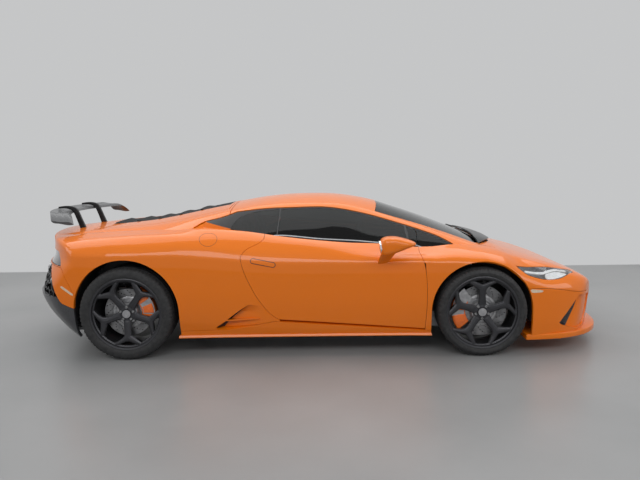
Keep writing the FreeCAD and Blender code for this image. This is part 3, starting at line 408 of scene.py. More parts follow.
def region(axes, start, *runs):
    """Region inside an outline drawn in two of the axes."""
    a = outline(start, *runs)
    b = np.roll(a, -1, axis=0)
    edge = b - a
    length = np.maximum((edge ** 2).sum(1), 1e-9)

    def distance(points):
        p = points[:, axes]
        near = np.full(len(p), 1e18)
        inside = np.zeros(len(p), bool)
        for k in range(len(a)):
            d = p - a[k]
            t = np.clip((d @ edge[k]) / length[k], 0, 1)[:, None]
            near = np.minimum(near, ((d - edge[k] * t) ** 2).sum(1))
            crosses = (a[k, 1] > p[:, 1]) != (b[k, 1] > p[:, 1])
            rise = edge[k, 1] if edge[k, 1] else 1e-9
            inside ^= crosses & (p[:, 0] < a[k, 0] + edge[k, 0] * (p[:, 1] - a[k, 1]) / rise)
        return np.where(inside, 1, -1) * np.sqrt(near)
    return distance


SIDE, TOP, FRONT = [0, 2], [0, 1], [1, 2]

DOOR = region(SIDE, (-291, 960), [(-291, 874)], [(-338, 841), (-427, 797), (-459, 755)],
              [(-438, 663), (-399, 568), (-351, 472), (-286, 376), (-228, 314), (-185, 286)],
              [(893, 203)], [(905, 457), (900, 586), (887, 680), (863, 760)], [(863, 960)])
WINDOW = region(SIDE, (1136, 806),
                [(1040, 858), (916, 904), (789, 945), (660, 984), (483, 1034), (304, 1073)],
                [(203, 1087), (-59, 1091), (-284, 1086), (-521, 1065)],
                [(-665, 1019), (-781, 990), (-850, 950)], [(-850, 700)], [(1136, 700)])
SCREEN = region(TOP, (590, -400), [(590, 0)], [(585, 250), (556, 492)], [(960, 545), (1318, 612)],
                [(1386, 500), (1450, 300), (1480, 0)], [(1480, -400)])
BONNET = region(TOP, (1545, -400), [(1545, 0)], [(1505, 300), (1420, 500), (1335, 632)],
                [(1600, 640), (1884, 622), (2100, 560)], [(2190, 430), (2240, 200), (2250, 0)],
                [(2250, -400)])
ENGINE_COVER = region(TOP, (-600, -400), [(-600, 460)], [(-1250, 470), (-1700, 430)], [(-1700, -400)])
BUMPER = region(SIDE, (1640, 497), [(1760, 494), (2040, 446)], [(2600, 386)], [(2600, 0)], [(1560, 0)],
                [(1560, 497)])
REAR_BUMPER = region(SIDE, (-1690, 491), [(-1786, 689)], [(-2600, 689)], [(-2600, 0)], [(-1560, 0)],
                     [(-1560, 491)])
TAIL_BAND = region(SIDE, (-1800, 700), [(-1850, 796)], [(-2600, 796)], [(-2600, 700)])
SILL = region(SIDE, (-938, 200), [(-560, 208)], [(-215, 268)], [(893, 186)], [(950, 186)], [(950, 0)],
              [(-938, 0)])
HEADLAMP = region(TOP, (1560, 872), [(1700, 800), (1900, 730), (2040, 650)], [(2065, 668)],
                  [(1960, 775), (1800, 850), (1640, 888)])
INTAKE = region(FRONT, (330, 205), [(380, 330)], [(560, 372)], [(596, 385)], [(600, 215)], [(585, 190)])
CORNER = region(SIDE, (1887, 221), [(2053, 412)], [(2072, 420)], [(2205, 402)], [(2190, 330)],
                [(2135, 178)], [(2016, 172)])
SLIT = [(172, 1948), (208, 1966), (376, 2050), (412, 2060)]
REAR_BLACK = region(SIDE, (-1945, 695), [(-1805, 425)], [(-1700, 385)], [(-1560, 365)], [(-1560, 0)],
                    [(-2600, 0)], [(-2600, 695)])
MESH_Z = 470.0


def band(axis, low, high):
    """Region between two values of an axis."""
    return lambda p: np.minimum(p[:, axis] - low, high - p[:, axis])


def capsule(axes, a, b, radius):
    """Region within a radius of the line between two points."""
    a, b = np.array(a, float), np.array(b, float)

    def distance(p):
        d = p[:, axes] - a
        t = np.clip(d @ (b - a) / max((b - a) @ (b - a), 1e-9), 0, 1)
        return radius - np.linalg.norm(d - t[:, None] * (b - a), axis=1)
    return distance


def wheel_arch(x, z, radius):
    def distance(p):
        ring = radius - np.hypot(p[:, 0] - x, p[:, 2] - z)
        leg = np.minimum(radius - np.abs(p[:, 0] - x), z - p[:, 2])
        return np.maximum(ring, leg)
    return distance


ARCHES = [wheel_arch(*arch) for arch in ARCH_CENTRES_AND_RADII]


# Objects from meshes
def place(points):
    return (np.asarray(points, float) - [MIDDLE_X, 0, 0]) / 1000


def new_object(name, vertices, faces, materials):
    data = bpy.data.meshes.new(name)
    data.from_pydata([tuple(v) for v in vertices], [], [tuple(int(i) for i in f) for f in faces])
    for material in materials:
        data.materials.append(material)
    data.polygons.foreach_set("use_smooth", [True] * len(data.polygons))
    data.update()
    obj = bpy.data.objects.new(name, data)
    bpy.context.scene.collection.objects.link(obj)
    return obj


def border(faces):
    """Open edges of a triangle list, in the direction of their triangles."""
    edges = np.concatenate([faces[:, [0, 1]], faces[:, [1, 2]], faces[:, [2, 0]]])
    key = np.sort(edges, axis=1)
    _, index, count = np.unique(key, axis=0, return_inverse=True, return_counts=True)
    return edges[count[index.reshape(-1)] == 1]


def shell(name, mesh, thickness, material, inner=None, back=None):
    """Closed panel from a mesh: its face, its back (a thickness below, or back's points), its rim."""
    count = len(mesh.points)
    under = mesh.points - mesh.normals * thickness if back is None else back
    rim = border(mesh.faces)
    quads = np.stack([rim[:, 1], rim[:, 0], rim[:, 0] + count, rim[:, 1] + count], 1)
    rims = np.concatenate([quads[:, [0, 1, 2]], quads[:, [0, 2, 3]]])
    faces = np.concatenate([mesh.faces, mesh.faces[:, ::-1] + count, rims])
    obj = new_object(name, place(np.concatenate([mesh.points, under])), faces,
                     [material, inner or material])
    data = obj.data
    index = np.zeros(len(faces), int)
    index[len(mesh.faces):2 * len(mesh.faces)] = 1
    data.polygons.foreach_set("material_index", index)
    loops = np.zeros((len(data.loops), 3))
    corner = faces.reshape(-1)
    both = np.concatenate([mesh.normals, -mesh.normals])
    loops[:] = both[corner]
    start = 3 * 2 * len(mesh.faces)
    points = np.concatenate([mesh.points, under])[rims]
    facing = np.cross(points[:, 1] - points[:, 0], points[:, 2] - points[:, 0])
    facing /= np.maximum(np.linalg.norm(facing, axis=1), 1e-9)[:, None]
    loops[start:] = np.repeat(facing, 3, axis=0)
    data.normals_split_custom_set([tuple(v) for v in loops])
    return obj


def solid(name, points, faces, material, bevel=0.0, angle=35):
    """Closed piece with its edges over the angle kept sharp, or bevelled by a width."""
    obj = new_object(name, place(points), faces, [material])
    form = bmesh.new()
    form.from_mesh(obj.data)
    bmesh.ops.recalc_face_normals(form, faces=form.faces)
    if bevel:
        edges = [e for e in form.edges if e.is_manifold and e.calc_face_angle() > math.radians(angle)]
        bmesh.ops.bevel(form, geom=edges, offset=bevel / 1000, segments=3, profile=0.5, affect="EDGES",
                        clamp_overlap=True)
    for face in form.faces:
        face.smooth = True
    form.to_mesh(obj.data)
    form.free()
    obj.data.set_sharp_from_angle(angle=math.radians(angle))
    return obj


def prism(name, plane, points, depth, material, bevel=0.0):
    """Plate from an outline: plane turns two values into a place, depth is its thickness as a vector."""
    front = np.array([plane(a, b) for a, b in points], float)
    n = len(front)
    sides = [(i, (i + 1) % n, (i + 1) % n + n, i + n) for i in range(n)]
    caps = [tuple(range(n)), tuple(range(2 * n - 1, n - 1, -1))]
    points = np.concatenate([front, front + np.array(depth, float)])
    return solid(name, points, caps + sides, material, bevel)


def lathe(name, profile, centres, material, count=96, carve=None):
    """Solids of revolution about Y at each centre, from a closed profile of (y, radius)."""
    n = len(profile)
    y, turn = np.meshgrid([q[0] for q in profile], np.arange(count) * 2 * np.pi / count, indexing="ij")
    r = np.repeat(np.array([[q[1]] for q in profile], float), count, axis=1)
    if carve:
        r = r - carve(y, r, turn)
    ring = np.stack([r * np.sin(turn), y, r * np.cos(turn)], -1).reshape(-1, 3)
    quads = [(i * count + j, i * count + (j + 1) % count, (i + 1) % n * count + (j + 1) % count,
              (i + 1) % n * count + j) for i in range(n) for j in range(count)]
    faces = [tuple(v + k * len(ring) for v in quad) for k in range(len(centres)) for quad in quads]
    points = np.concatenate([ring + np.array(c, float) for c in centres])
    return solid(name, points, faces, material)


def loft(name, rings, material):
    """Solid through rings of points, with flat ends."""
    count, n = len(rings), len(rings[0])
    faces = [(i * n + j, i * n + (j + 1) % n, (i + 1) * n + (j + 1) % n, (i + 1) * n + j)
             for i in range(count - 1) for j in range(n)]
    faces += [tuple(range(n)), tuple(range((count - 1) * n, count * n))]
    return solid(name, np.concatenate(rings), faces, material)


def tube(name, path, radius, material, count=8):
    """Round bar along a path."""
    path = np.array(path, float)
    ways = np.gradient(path, axis=0)
    rings = []
    for at, way in zip(path, ways):
        way = Vector(way).normalized()
        side = way.orthogonal() if abs(way.z) > 0.9 else way.cross(Vector((0, 0, 1)))
        side.normalize()
        up = way.cross(side)
        turns = np.arange(count) * 2 * np.pi / count
        rings.append(np.array([at + radius * (np.array(side) * math.cos(t) + np.array(up) * math.sin(t))
                               for t in turns]))
    return loft(name, rings, material)


def fused(name, *objects):
    """Several pieces of one material as one."""
    form = bmesh.new()
    for obj in objects:
        form.from_mesh(obj.data)
    data = bpy.data.meshes.new(name)
    form.to_mesh(data)
    form.free()
    data.materials.append(objects[0].data.materials[0])
    for obj in objects:
        bpy.data.objects.remove(obj)
    one = bpy.data.objects.new(name, data)
    bpy.context.scene.collection.objects.link(one)
    return one


def on_sides(obj, body, slot, *nodes):
    """A left piece and its mirror image, each riding on the body of its side."""
    other = obj.copy()
    other.name = obj.name.replace("left", "right")
    other.data = obj.data.copy()
    other.data.transform(Matrix.Diagonal((1, -1, 1, 1)))
    other.data.flip_normals()
    bpy.context.scene.collection.objects.link(other)
    for piece, side in ((obj, "left"), (other, "right")):
        sided = [node.replace("SIDE", side) for node in nodes]
        finish_piece(piece, body.replace("SIDE", side), slot, *sided)


def finish_piece(obj, body, slot, *nodes):
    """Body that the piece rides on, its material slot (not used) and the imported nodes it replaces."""
    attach(obj, body)
    if nodes:
        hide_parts(*nodes)
    return obj


# Materials
# key: (name, colour, darkest and lightest tone of its mottle, the mottle's scale, roughness, metallic,
#       other values)
FINISHES = {
    "paint": ("orange_lacquer", (0.86, 0.19, 0.002), (0.84, 0.184, 0.002), (0.88, 0.198, 0.003), 900,
              0.4, 0.0, {"Coat Weight": 0.7, "Coat Roughness": 0.03, "Specular IOR Level": 0.15}),
    "slat": ("louvre_black", (0.012, 0.012, 0.013), (0.010, 0.010, 0.011), (0.016, 0.016, 0.017), 80,
             0.7, 0.0, {"Specular IOR Level": 0.2}),
    "bowl": ("lamp_bowl", (0.2, 0.2, 0.21), (0.16, 0.16, 0.17), (0.25, 0.25, 0.26), 40, 0.3, 0.6, {}),
    "satin": ("satin_composite", (0.07, 0.072, 0.075), (0.062, 0.064, 0.067), (0.080, 0.082, 0.086), 150,
              0.4, 0.1, {"Coat Weight": 0.3}),
    "black": ("moulded_black", (0.02, 0.02, 0.02), (0.016, 0.016, 0.017), (0.026, 0.026, 0.028), 60,
              0.42, 0.0, {}),
    "gloss": ("gloss_black", (0.006, 0.006, 0.006), (0.005, 0.005, 0.006), (0.009, 0.009, 0.010), 30,
              0.3, 0.0, {"Coat Weight": 0.25, "Coat Roughness": 0.05, "Specular IOR Level": 0.2}),
    "graphite": ("graphite_lacquer", (0.05, 0.05, 0.055), (0.045, 0.045, 0.050), (0.065, 0.065, 0.070),
                 300, 0.34, 0.7, {}),
    "carbon": ("grey_composite", (0.05, 0.05, 0.055), (0.045, 0.046, 0.05), (0.062, 0.063, 0.068), 120,
               0.38, 0.1, {"Coat Weight": 0.4}),
    "rubber": ("tyre_rubber", (0.02, 0.02, 0.02), (0.016, 0.016, 0.017), (0.030, 0.030, 0.031), 40,
               0.75, 0.0, {}),
    "iron": ("ground_iron", (0.2, 0.2, 0.205), (0.16, 0.16, 0.165), (0.25, 0.25, 0.255), 25,
             0.36, 0.85, {}),
    "alloy": ("cast_alloy", (0.4, 0.4, 0.41), (0.33, 0.33, 0.34), (0.46, 0.46, 0.47), 30, 0.42, 0.8, {}),
    "steel": ("brushed_steel", (0.3, 0.3, 0.3), (0.25, 0.25, 0.255), (0.36, 0.36, 0.36), 80,
              0.32, 0.9, {}),
    "caliper": ("caliper_lacquer", (0.85, 0.16, 0.01), (0.80, 0.140, 0.008), (0.88, 0.175, 0.012), 120,
                0.3, 0.0, {"Coat Weight": 0.6}),
    "glass": ("tinted_glass", (0.07, 0.085, 0.085), (0.066, 0.080, 0.080), (0.074, 0.090, 0.090), 3,
              0.02, 0.0, {"Transmission Weight": 1.0, "IOR": 1.33}),
    "lens": ("clear_lens", (0.9, 0.92, 0.94), (0.88, 0.90, 0.92), (0.93, 0.94, 0.95), 4,
             0.02, 0.0, {"Transmission Weight": 1.0, "IOR": 1.45}),
    "smoke": ("smoked_lens", (0.03, 0.012, 0.012), (0.025, 0.010, 0.010), (0.038, 0.014, 0.014), 50,
              0.1, 0.0, {"Coat Weight": 1.0}),
    "marker": ("marker_lens", (0.75, 0.6, 0.42), (0.70, 0.55, 0.38), (0.80, 0.66, 0.50), 90,
               0.15, 0.0, {"Coat Weight": 1.0}),
    "leather": ("black_leather", (0.025, 0.024, 0.023), (0.020, 0.019, 0.018), (0.032, 0.030, 0.029), 25,
                0.5, 0.0, {}),
    "lamp": ("lamp_white", (0.8, 0.8, 0.8), (0.75, 0.76, 0.78), (0.85, 0.85, 0.86), 40,
             0.25, 0.0, {"Emission Strength": 0.25, "Emission Color": (1, 0.97, 0.92, 1)}),
    # bright metal of the strip at the glass's foot: a painted highlight along the glass edge
    "strip_highlight": ("bright_metal", (0.75, 0.76, 0.78), (0.70, 0.71, 0.73), (0.80, 0.81, 0.83), 60,
               0.12, 1.0, {}),
    "mirror": ("mirror_glass", (0.85, 0.86, 0.88), (0.83, 0.84, 0.86), (0.87, 0.88, 0.90), 10,
               0.02, 1.0, {}),
}
GRAINS = {"slat": (700, 0.1), "black": (900, 0.12), "rubber": (400, 0.25), "iron": (300, 0.05),
          "alloy": (350, 0.1), "leather": (260, 0.35, "ShaderNodeTexVoronoi")}
GRAIN_DEPTH = 0.001
MOTTLE_EDGES = (0.35, 0.65)


def material(name, color, roughness, metallic, values):
    """Principled material with its values on the sockets themselves."""
    made = bpy.data.materials.new(name)
    made.use_nodes = True
    inputs = made.node_tree.nodes["Principled BSDF"].inputs
    inputs["Base Color"].default_value = (*color, 1)
    inputs["Roughness"].default_value = roughness
    inputs["Metallic"].default_value = metallic
    for socket, value in values.items():
        inputs[socket].default_value = value
    return made


def node(made, kind, **values):
    new = made.node_tree.nodes.new(kind)
    for key, value in values.items():
        if key in new.inputs:
            new.inputs[key].default_value = value
        else:
            setattr(new, key, value)
    return new


def wire(made, a, output, b, socket):
    made.node_tree.links.new(a.outputs[output], b.inputs[socket])


def mottle(made, dark, light, scale, detail=2.0):
    """Mixes two tones over the surface by a noise."""
    coordinates = node(made, "ShaderNodeTexCoord")
    noise = node(made, "ShaderNodeTexNoise", Scale=scale, Detail=detail)
    ramp = node(made, "ShaderNodeValToRGB")
    for element, tone, edge in zip(ramp.color_ramp.elements, (dark, light), MOTTLE_EDGES):
        element.color = (*tone, 1)
        element.position = edge
    wire(made, coordinates, "Object", noise, "Vector")
    wire(made, noise, "Fac", ramp, "Fac")
    wire(made, ramp, "Color", made.node_tree.nodes["Principled BSDF"], "Base Color")
    return made


def grain(made, scale, strength, kind="ShaderNodeTexNoise"):
    """Fine bump over the surface."""
    coordinates = node(made, "ShaderNodeTexCoord")
    texture = node(made, kind, Scale=scale)
    bump = node(made, "ShaderNodeBump", Strength=strength, Distance=GRAIN_DEPTH)
    wire(made, coordinates, "Object", texture, "Vector")
    wire(made, texture, "Distance" if kind == "ShaderNodeTexVoronoi" else "Fac", bump, "Height")
    wire(made, bump, "Normal", made.node_tree.nodes["Principled BSDF"], "Normal")
    return made


def make_materials():
    made = {}
    for key, (name, color, dark, light, scale, roughness, metallic, values) in FINISHES.items():
        made[key] = mottle(material(name, color, roughness, metallic, values), dark, light, scale)
        if key in GRAINS:
            grain(made[key], *GRAINS[key])
    return made


M = make_materials()
HULL = make_hull()
CANOPY = make_canopy()


# Body panels
GLASS_BASE = [(-640, 905), (-277, 874), (-206, 889), (140, 859), (403, 840), (567, 823), (829, 803),
              (921, 773), (1110, 745)]
CLEAR = region(SIDE, (-474, 880), [(-474, 912)], [(-556, 936)],
               [(-530, 985), (-483, 1023), (-350, 1060), (-158, 1076)], [(-158, 1300)], [(1200, 1300)],
               [(1200, 600)], [(-474, 600)])
POCKET = region(SIDE, (-960, 1039), [(-509, 935)], [(-509, 700)], [(-960, 700)])
PANE_SPLIT = region(SIDE, (-157, 1300), [(-218, 600)], [(860, 600)], [(860, 1300)])
COWL_RISE = 24.0
LOUVRES = range(-760, -1481, -180)
LOUVRE_OPENING = 110.0
LOUVRE_HALF = 210.0
LOUVRE_FRAME = 14.0
LIP = [(206, -690), (227, -661), (270, -594), (331, -516), (404, -405)]
THROAT = [(206, -613), (254, -576), (298, -531), (404, -405)]
SCOOP = region(SIDE, (-405, 404), [(-516, 331), (-594, 270), (-661, 227)], [(-640, 207)], [(-560, 208)],
               [(-300, 255)], [(-232, 262)], [(-300, 390)])
SCOOP_DEPTH = 46.0
SCOOP_FIN = [(-575, 279), (-333, 291), (-325, 295), (-333, 298), (-575, 286)]
RAMP_START = -290
SLIT_DEPTH, VANE_DEPTHS = 46, (9, 24)
POCKET_DEPTH, POCKET_SLOPE = 24, 22
HEX_CELL = 62.0
HEX_BAR = 5.0
# Ends, half width and depth under the lens
LAMP_BARS = (((1640, 862), (1790, 806), 7, 9), ((1800, 800), (1990, 700), 7, 9),
             ((1830, 815), (1985, 735), 20, 22))
BOWL_DEPTH, BOWL_SLOPE = 34.0, 16.0
EXHAUST = (170, 560)  # across and up
TAIL_LAMP_Y = 443.0


def both_of(name, mesh, thickness, finish, body, slot, *nodes):
    """Piece with its mirror image."""
    return finish_piece(shell(name, mesh.both(), thickness, finish), body, slot, *nodes)


def left_and_right(name, mesh, thickness, finish, slot, node=None, body=None, back=None, inner=None,
                   whole=None):
    """A piece for each side, riding on the body of its side or on the fixed one.

    Each replaces its side's node, and the left one a node that holds both sides.
    """
    for side, half in (("left", mesh), ("right", mesh.mirrored())):
        obj = shell("%s_%s" % (name, side), half, thickness, finish, inner, back and back(half))
        nodes = ["%s_%s" % (node, side)] if node else []
        if whole and side == "left":
            nodes.append(whole)
        finish_piece(obj, "%s_%s" % (body, side) if body else "body", slot, *nodes)


def any_of(*regions):
    return lambda p: np.max([r(p) for r in regions], axis=0)


def all_of(*regions):
    return lambda p: np.min([r(p) for r in regions], axis=0)


def grown(inside, distance):
    return lambda p: inside(p) + distance


def behind(line):
    """Region behind a line given as x at each height."""
    return lambda p: along(line, p[:, 2]) - p[:, 0]


def make_nose(over):
    """Front wings, bonnet, cowl and the front panel with its mouths and corners."""
    half = SHUT_GAP / 2
    cowl_box = all_of(band(0, 1100, 1560), band(1, -640, 640))
    fascia = any_of(BUMPER, band(0, 2195, FAR))
    mouth = all_of(INTAKE, band(0, 1700, FAR))
    corner = all_of(CORNER, band(1, 560, FAR))
    ahead_of_door = any_of(band(0, 897, 2300), all_of(band(0, 850, 900), band(2, 700, 1000)))
    wing = over.within(ahead_of_door).without(DOOR, BONNET, fascia, SILL, cowl_box, gap=half)
    wing = wing.without(HEADLAMP, gap=SCREEN_FIT).without(ARCHES[0])
    left_and_right("front_wing", wing, SKIN, M["paint"], "paint", whole="front_wings")

    bonnet = over.within(BONNET, band(2, 380, FAR), band(0, 1300, FAR))
    both_of("bonnet_panel", bonnet, SKIN, M["paint"], "bonnet", "paint", "bonnet")

    cowl = over.within(cowl_box).without(BONNET, gap=SHUT_GAP)
    x, y = cowl.points[:, 0], np.abs(cowl.points[:, 1])
    cowl = cowl.sunk(-COWL_RISE * (1 - np.clip(y / 630, 0, 1) ** 6) * np.clip((1575 - x) / 60, 0, 1))
    both_of("cowl_panel", cowl, 8, M["gloss"], "body", "black_trim", "cowl")

    bumper = over.within(fascia).without(BONNET, gap=half).without(ARCHES[0], mouth, corner)
    both_of("front_fascia", bumper, SKIN, M["paint"], "body", "paint", "front_bumper")
    make_corner_intake(over.within(corner))
    make_grille("nose", over.within(mouth), "grilles")


def make_flanks(over):
    """Sills and the doors' outer skins."""
    sill = over.within(SILL, band(0, -1000, 1000)).without(*ARCHES)
    left_and_right("sill", sill, 60, M["paint"], "paint", whole="sills")

    def inner_face(m):
        return np.stack([m.points[:, 0], np.sign(m.points[:, 1]) * DOOR_INNER_Y, m.points[:, 2] - 1], 1)
    door = over.within(DOOR, band(1, DOOR_INNER_Y + 1, FAR), band(2, 180, FAR))
    left_and_right("door_panel", door, SKIN, M["paint"], "paint", "door", "door", inner_face, M["black"])
    shoulder = over.within(DOOR, band(1, 600, DOOR_INNER_Y + 1.5))
    left_and_right("door_shoulder", shoulder, 6, M["paint"], "paint", body="door")


def make_quarters_and_roof(over, above):
    """Rear quarters with the sails over them, and the roof with its pillars."""
    rear = over.within(band(0, -2300, -180)).without(DOOR, REAR_BUMPER, TAIL_BAND, SILL, gap=SHUT_GAP / 2)
    rear = rear.without(SCOOP).without(grown(ENGINE_COVER, SHUT_GAP))
    rear = rear.without(ARCHES[1], all_of(DOOR, band(1, 0, 700)))
    sail = above.within(band(0, -2300, -571 - SHUT_GAP)).without(ENGINE_COVER, gap=SHUT_GAP)
    quarter = joined(rear.both(), sail.without(WINDOW).both())
    finish_piece(shell("rear_quarter_panels", quarter, SKIN, M["paint"]), "body", "paint", "rear_quarters")
    roof = above.within(band(0, -571, 1420)).without(SCREEN, WINDOW)
    both_of("roof_panel", roof, SKIN, M["paint"], "body", "paint", "roof")


def make_glass(above):
    """Windscreen and side glass."""
    screen = above.within(grown(SCREEN, -SCREEN_FIT)).moved(-GLASS_INSET)
    both_of("windscreen_glass", screen, PANE, M["glass"], "body", "glass", "windscreen")
    pane = above.within(grown(WINDOW, -SHUT_GAP)).moved(-GLASS_INSET)
    left_and_right("door_pane", pane.within(PANE_SPLIT), PANE, M["glass"], "glass", "door_glass", "door")
    fixed = pane.without(PANE_SPLIT, gap=PANE_GAP).within(band(0, -640, 1110)).without(POCKET)
    left_and_right("fixed_pane", fixed, PANE, M["glass"], "glass", whole="fixed_glass")
    make_window_trim(pane)


def make_tail(over):
    """Rear corners, diffuser panel, honeycomb and lamps of the tail."""
    corner = over.within(REAR_BUMPER).without(REAR_BLACK, gap=SHUT_GAP / 2).without(ARCHES[1], TAIL_BAND)
    left_and_right("rear_corner", corner, SKIN, M["paint"], "paint", whole="rear_bumper")
    lower = over.within(REAR_BLACK).without(ARCHES[1])
    both_of("diffuser_panel", lower.within(band(2, 0, MESH_Z)), SKIN, M["carbon"], "body", "dark_gloss",
            "rear_diffuser")
    pipe = capsule(FRONT, EXHAUST, EXHAUST, 62)
    tail_band = grown(TAIL_BAND, -2)
    middle = over.within(tail_band, band(1, -1, TAIL_LAMP_Y - 3))
    make_grille("tail", joined(lower.within(band(2, MESH_Z, FAR)).without(pipe), middle))
    lamp = over.within(tail_band, band(1, TAIL_LAMP_Y + 3, FAR)).moved(-6)
    left_and_right("tail_lamp_lens", lamp, 6, M["smoke"], "red_lens", whole="tail_lamps")


def make_headlamps():
    """Clear lens over a sunk bowl with light bars."""
    lens = HULL.within(HEADLAMP, band(2, 440, FAR)).without(ARCHES[0])
    left_and_right("headlamp_lens", lens.moved(-1), 4, M["lens"], "lens", whole="headlamps")
    fine = lens.refined(2)
    bowl = fine.sunk(7 + BOWL_DEPTH * np.clip(HEADLAMP(fine.points) / BOWL_SLOPE, 0, 1))
    left_and_right("headlamp_bowl", bowl, 3, M["bowl"], "lens")
    for k, (a, b, width, rise) in enumerate(LAMP_BARS):
        bar = fine.within(capsule(TOP, a, b, width), grown(HEADLAMP, -6)).moved(-rise)
        left_and_right("lamp_bar_%d" % (k + 1), bar, 8, M["lamp"], "lens")


def make_engine_lid(above):
    """Engine cover with its louvres."""
    slots = [all_of(band(0, x - LOUVRE_OPENING, x), band(1, -LOUVRE_HALF, LOUVRE_HALF)) for x in LOUVRES]
    deck_half = LOUVRE_HALF + LOUVRE_FRAME
    deck = all_of(band(0, -1620, -625), band(1, -deck_half, deck_half))
    cover = above.within(ENGINE_COVER)
    both_of("engine_lid", cover.without(deck), SKIN, M["paint"], "engine_cover", "paint", "engine_cover")
    frame_part = cover.within(deck).without(*slots)
    both_of("louvre_frame", frame_part, SKIN, M["slat"], "engine_cover", "paint")
    for k, x in enumerate(LOUVRES):
        slat = above.within(band(0, x - LOUVRE_OPENING - 12, x + 4),
                            band(1, 2 - LOUVRE_HALF, LOUVRE_HALF - 2))
        tilt = (slat.points[:, 0] - x + LOUVRE_OPENING / 2) / LOUVRE_OPENING
        both_of("louvre_%d" % (k + 1), slat.sunk(6 + 28 * tilt), 5, M["slat"], "engine_cover", "paint")


def make_body():
    """All panels, cut from the hull and from the canopy that stands over it."""
    over = HULL.kept(np.maximum(canopy(HULL.points), tail_end(HULL.points) + 4))
    over = over.within(band(2, BODY_BOTTOM, FAR))
    above = CANOPY.within(lambda p: hull(p) + 2, lambda p: -tail_end(p))
    make_nose(over)
    make_flanks(over)
    make_quarters_and_roof(over, above)
    make_glass(above)
    make_scoop(over)
    make_tail(over)
    make_headlamps()
    make_engine_lid(above)


def make_window_trim(pane):
    """Black surround, bars, hollow behind the glass, and the strip at the glass's foot, whose bright metal is
    a painted highlight along the glass edge.
    """
    fine = pane.refined(2)

    def above_base(p):
        return p[:, 2] - along(GLASS_BASE, p[:, 0])
    clear = all_of(grown(WINDOW, -15), CLEAR, lambda p: above_base(p) - 8)
    bar = region(SIDE, (-168, 1300), [(-146, 1300)], [(-207, 600)], [(-229, 600)])
    divider = region(SIDE, (768, 970), [(784, 970)], [(812, 730)], [(796, 730)])
    line = all_of(lambda p: np.minimum(above_base(p), 7 - above_base(p)), band(0, -277, 930))
    surround = pane.refined(1).without(clear).moved(0.8)
    moving, still = surround.within(PANE_SPLIT), surround.without(PANE_SPLIT, gap=PANE_GAP)
    pocket = still.within(POCKET)
    from_edge = np.minimum(WINDOW(pocket.points), POCKET(pocket.points))
    pocket = pocket.sunk(POCKET_DEPTH * np.clip(from_edge / POCKET_SLOPE, 0, 1))
    left_and_right("quarter_pocket", pocket, LINER, M["paint"], "paint")
    still = still.without(POCKET)
    left_and_right("door_surround", moving, FILM, M["gloss"], "glass", body="door")
    left_and_right("fixed_surround", still, FILM, M["gloss"], "glass")
    pillar = fine.within(bar).without(PANE_SPLIT, gap=2).moved(1.5)
    left_and_right("pillar_bar", pillar, TRIM, M["black"], "glass")
    divider = fine.within(divider, PANE_SPLIT).moved(1.5)
    left_and_right("divider_bar", divider, TRIM, M["black"], "glass", body="door")
    # strip at the glass's foot in bright metal: a painted highlight along the glass edge
    line = fine.within(line).moved(2)
    left_and_right("bright_line_door", line.within(PANE_SPLIT), TRIM, M["strip_highlight"], "glass", body="door")
    line = line.without(PANE_SPLIT, gap=PANE_GAP)
    left_and_right("bright_line_fixed", line, TRIM, M["strip_highlight"], "glass")


def make_scoop(over):
    """Air scoop behind the door: a ramp that runs in, and the black mouth under the quarter's edge."""
    patch = over.within(SCOOP).without(DOOR, SILL, gap=SHUT_GAP / 2).refined(2)
    x, z = patch.points[:, 0], patch.points[:, 2]
    throat, lip = along(THROAT, z), along(LIP, z)
    run_in = np.clip((RAMP_START - x) / np.maximum(RAMP_START - throat, 1), 0, 1) ** 1.3
    run_out = 1 - np.clip((throat - x) / np.maximum(throat - lip, 1), 0, 1)
    depth = SCOOP_DEPTH * run_in * run_out * np.clip((LIP[-1][0] - z) / 60, 0, 1)
    patch = patch.sunk(depth)
    left_and_right("scoop_ramp", patch.without(behind(THROAT)), LINER, M["paint"], "paint")
    left_and_right("scoop_mouth", patch.within(behind(THROAT)), LINER, M["black"], "paint")
    fin = prism("scoop_fin_left", lambda a, b: (a, 868, b), SCOOP_FIN, (0, 46, 0), M["paint"], 1)
    on_sides(fin, "body", "paint")


def hexes(p):
    """Above zero on the bars of a honeycomb seen from the front."""
    y, z, root = p[:, 1], p[:, 2], 3 ** 0.5
    near = np.full(len(p), 1e9)
    for shift in (0.0, 0.5):
        a = np.abs((y / HEX_CELL + shift) % 1 - 0.5) * HEX_CELL
        b = np.abs((z / (HEX_CELL * root) + shift) % 1 - 0.5) * HEX_CELL * root
        near = np.minimum(near, np.maximum(a, a / 2 + b * root / 2))
    return near - HEX_CELL / 2 + HEX_BAR


def make_grille(name, patch, *nodes):
    """Honeycomb and its dark backing."""
    both_of("%s_backing" % name, patch.moved(-60), TRIM, M["slat"], "body", "black_trim", *nodes)
    comb = patch.refined(1).within(hexes).moved(-14)
    both_of("%s_honeycomb" % name, comb, 7, M["gloss"], "body", "black_trim")


def make_corner_intake(patch):
    """Slanted black slit at the bumper's corner and the painted vane that runs out of it."""
    patch = patch.refined(2)
    x, z = patch.points[:, 0], patch.points[:, 2]
    slit = along(SLIT, z)
    depth = VANE_DEPTHS[0] + VANE_DEPTHS[1] * (1 - np.clip((x - slit) / 150, 0, 1)) ** 1.5
    patch = patch.sunk(np.where(x < slit, SLIT_DEPTH, depth))
    left_and_right("intake_vane", patch.without(behind(SLIT)), 5, M["paint"], "paint")
    left_and_right("intake_slit", patch.within(behind(SLIT)), 5, M["black"], "paint")


def on_glass(points, rise):
    """Places on a smooth line over the windscreen or the panel in front of it."""
    x, y = spline(points, 6).T
    share = np.abs(y) / along(FOLD_Y, x)
    centre = along(ROOF_LINE, x)
    glass = centre - (centre - along(FOLD_Z, x)) * share ** ROOF_POWER
    return np.stack([x, y, np.maximum(glass, hull_top(x, y)) + rise], 1)


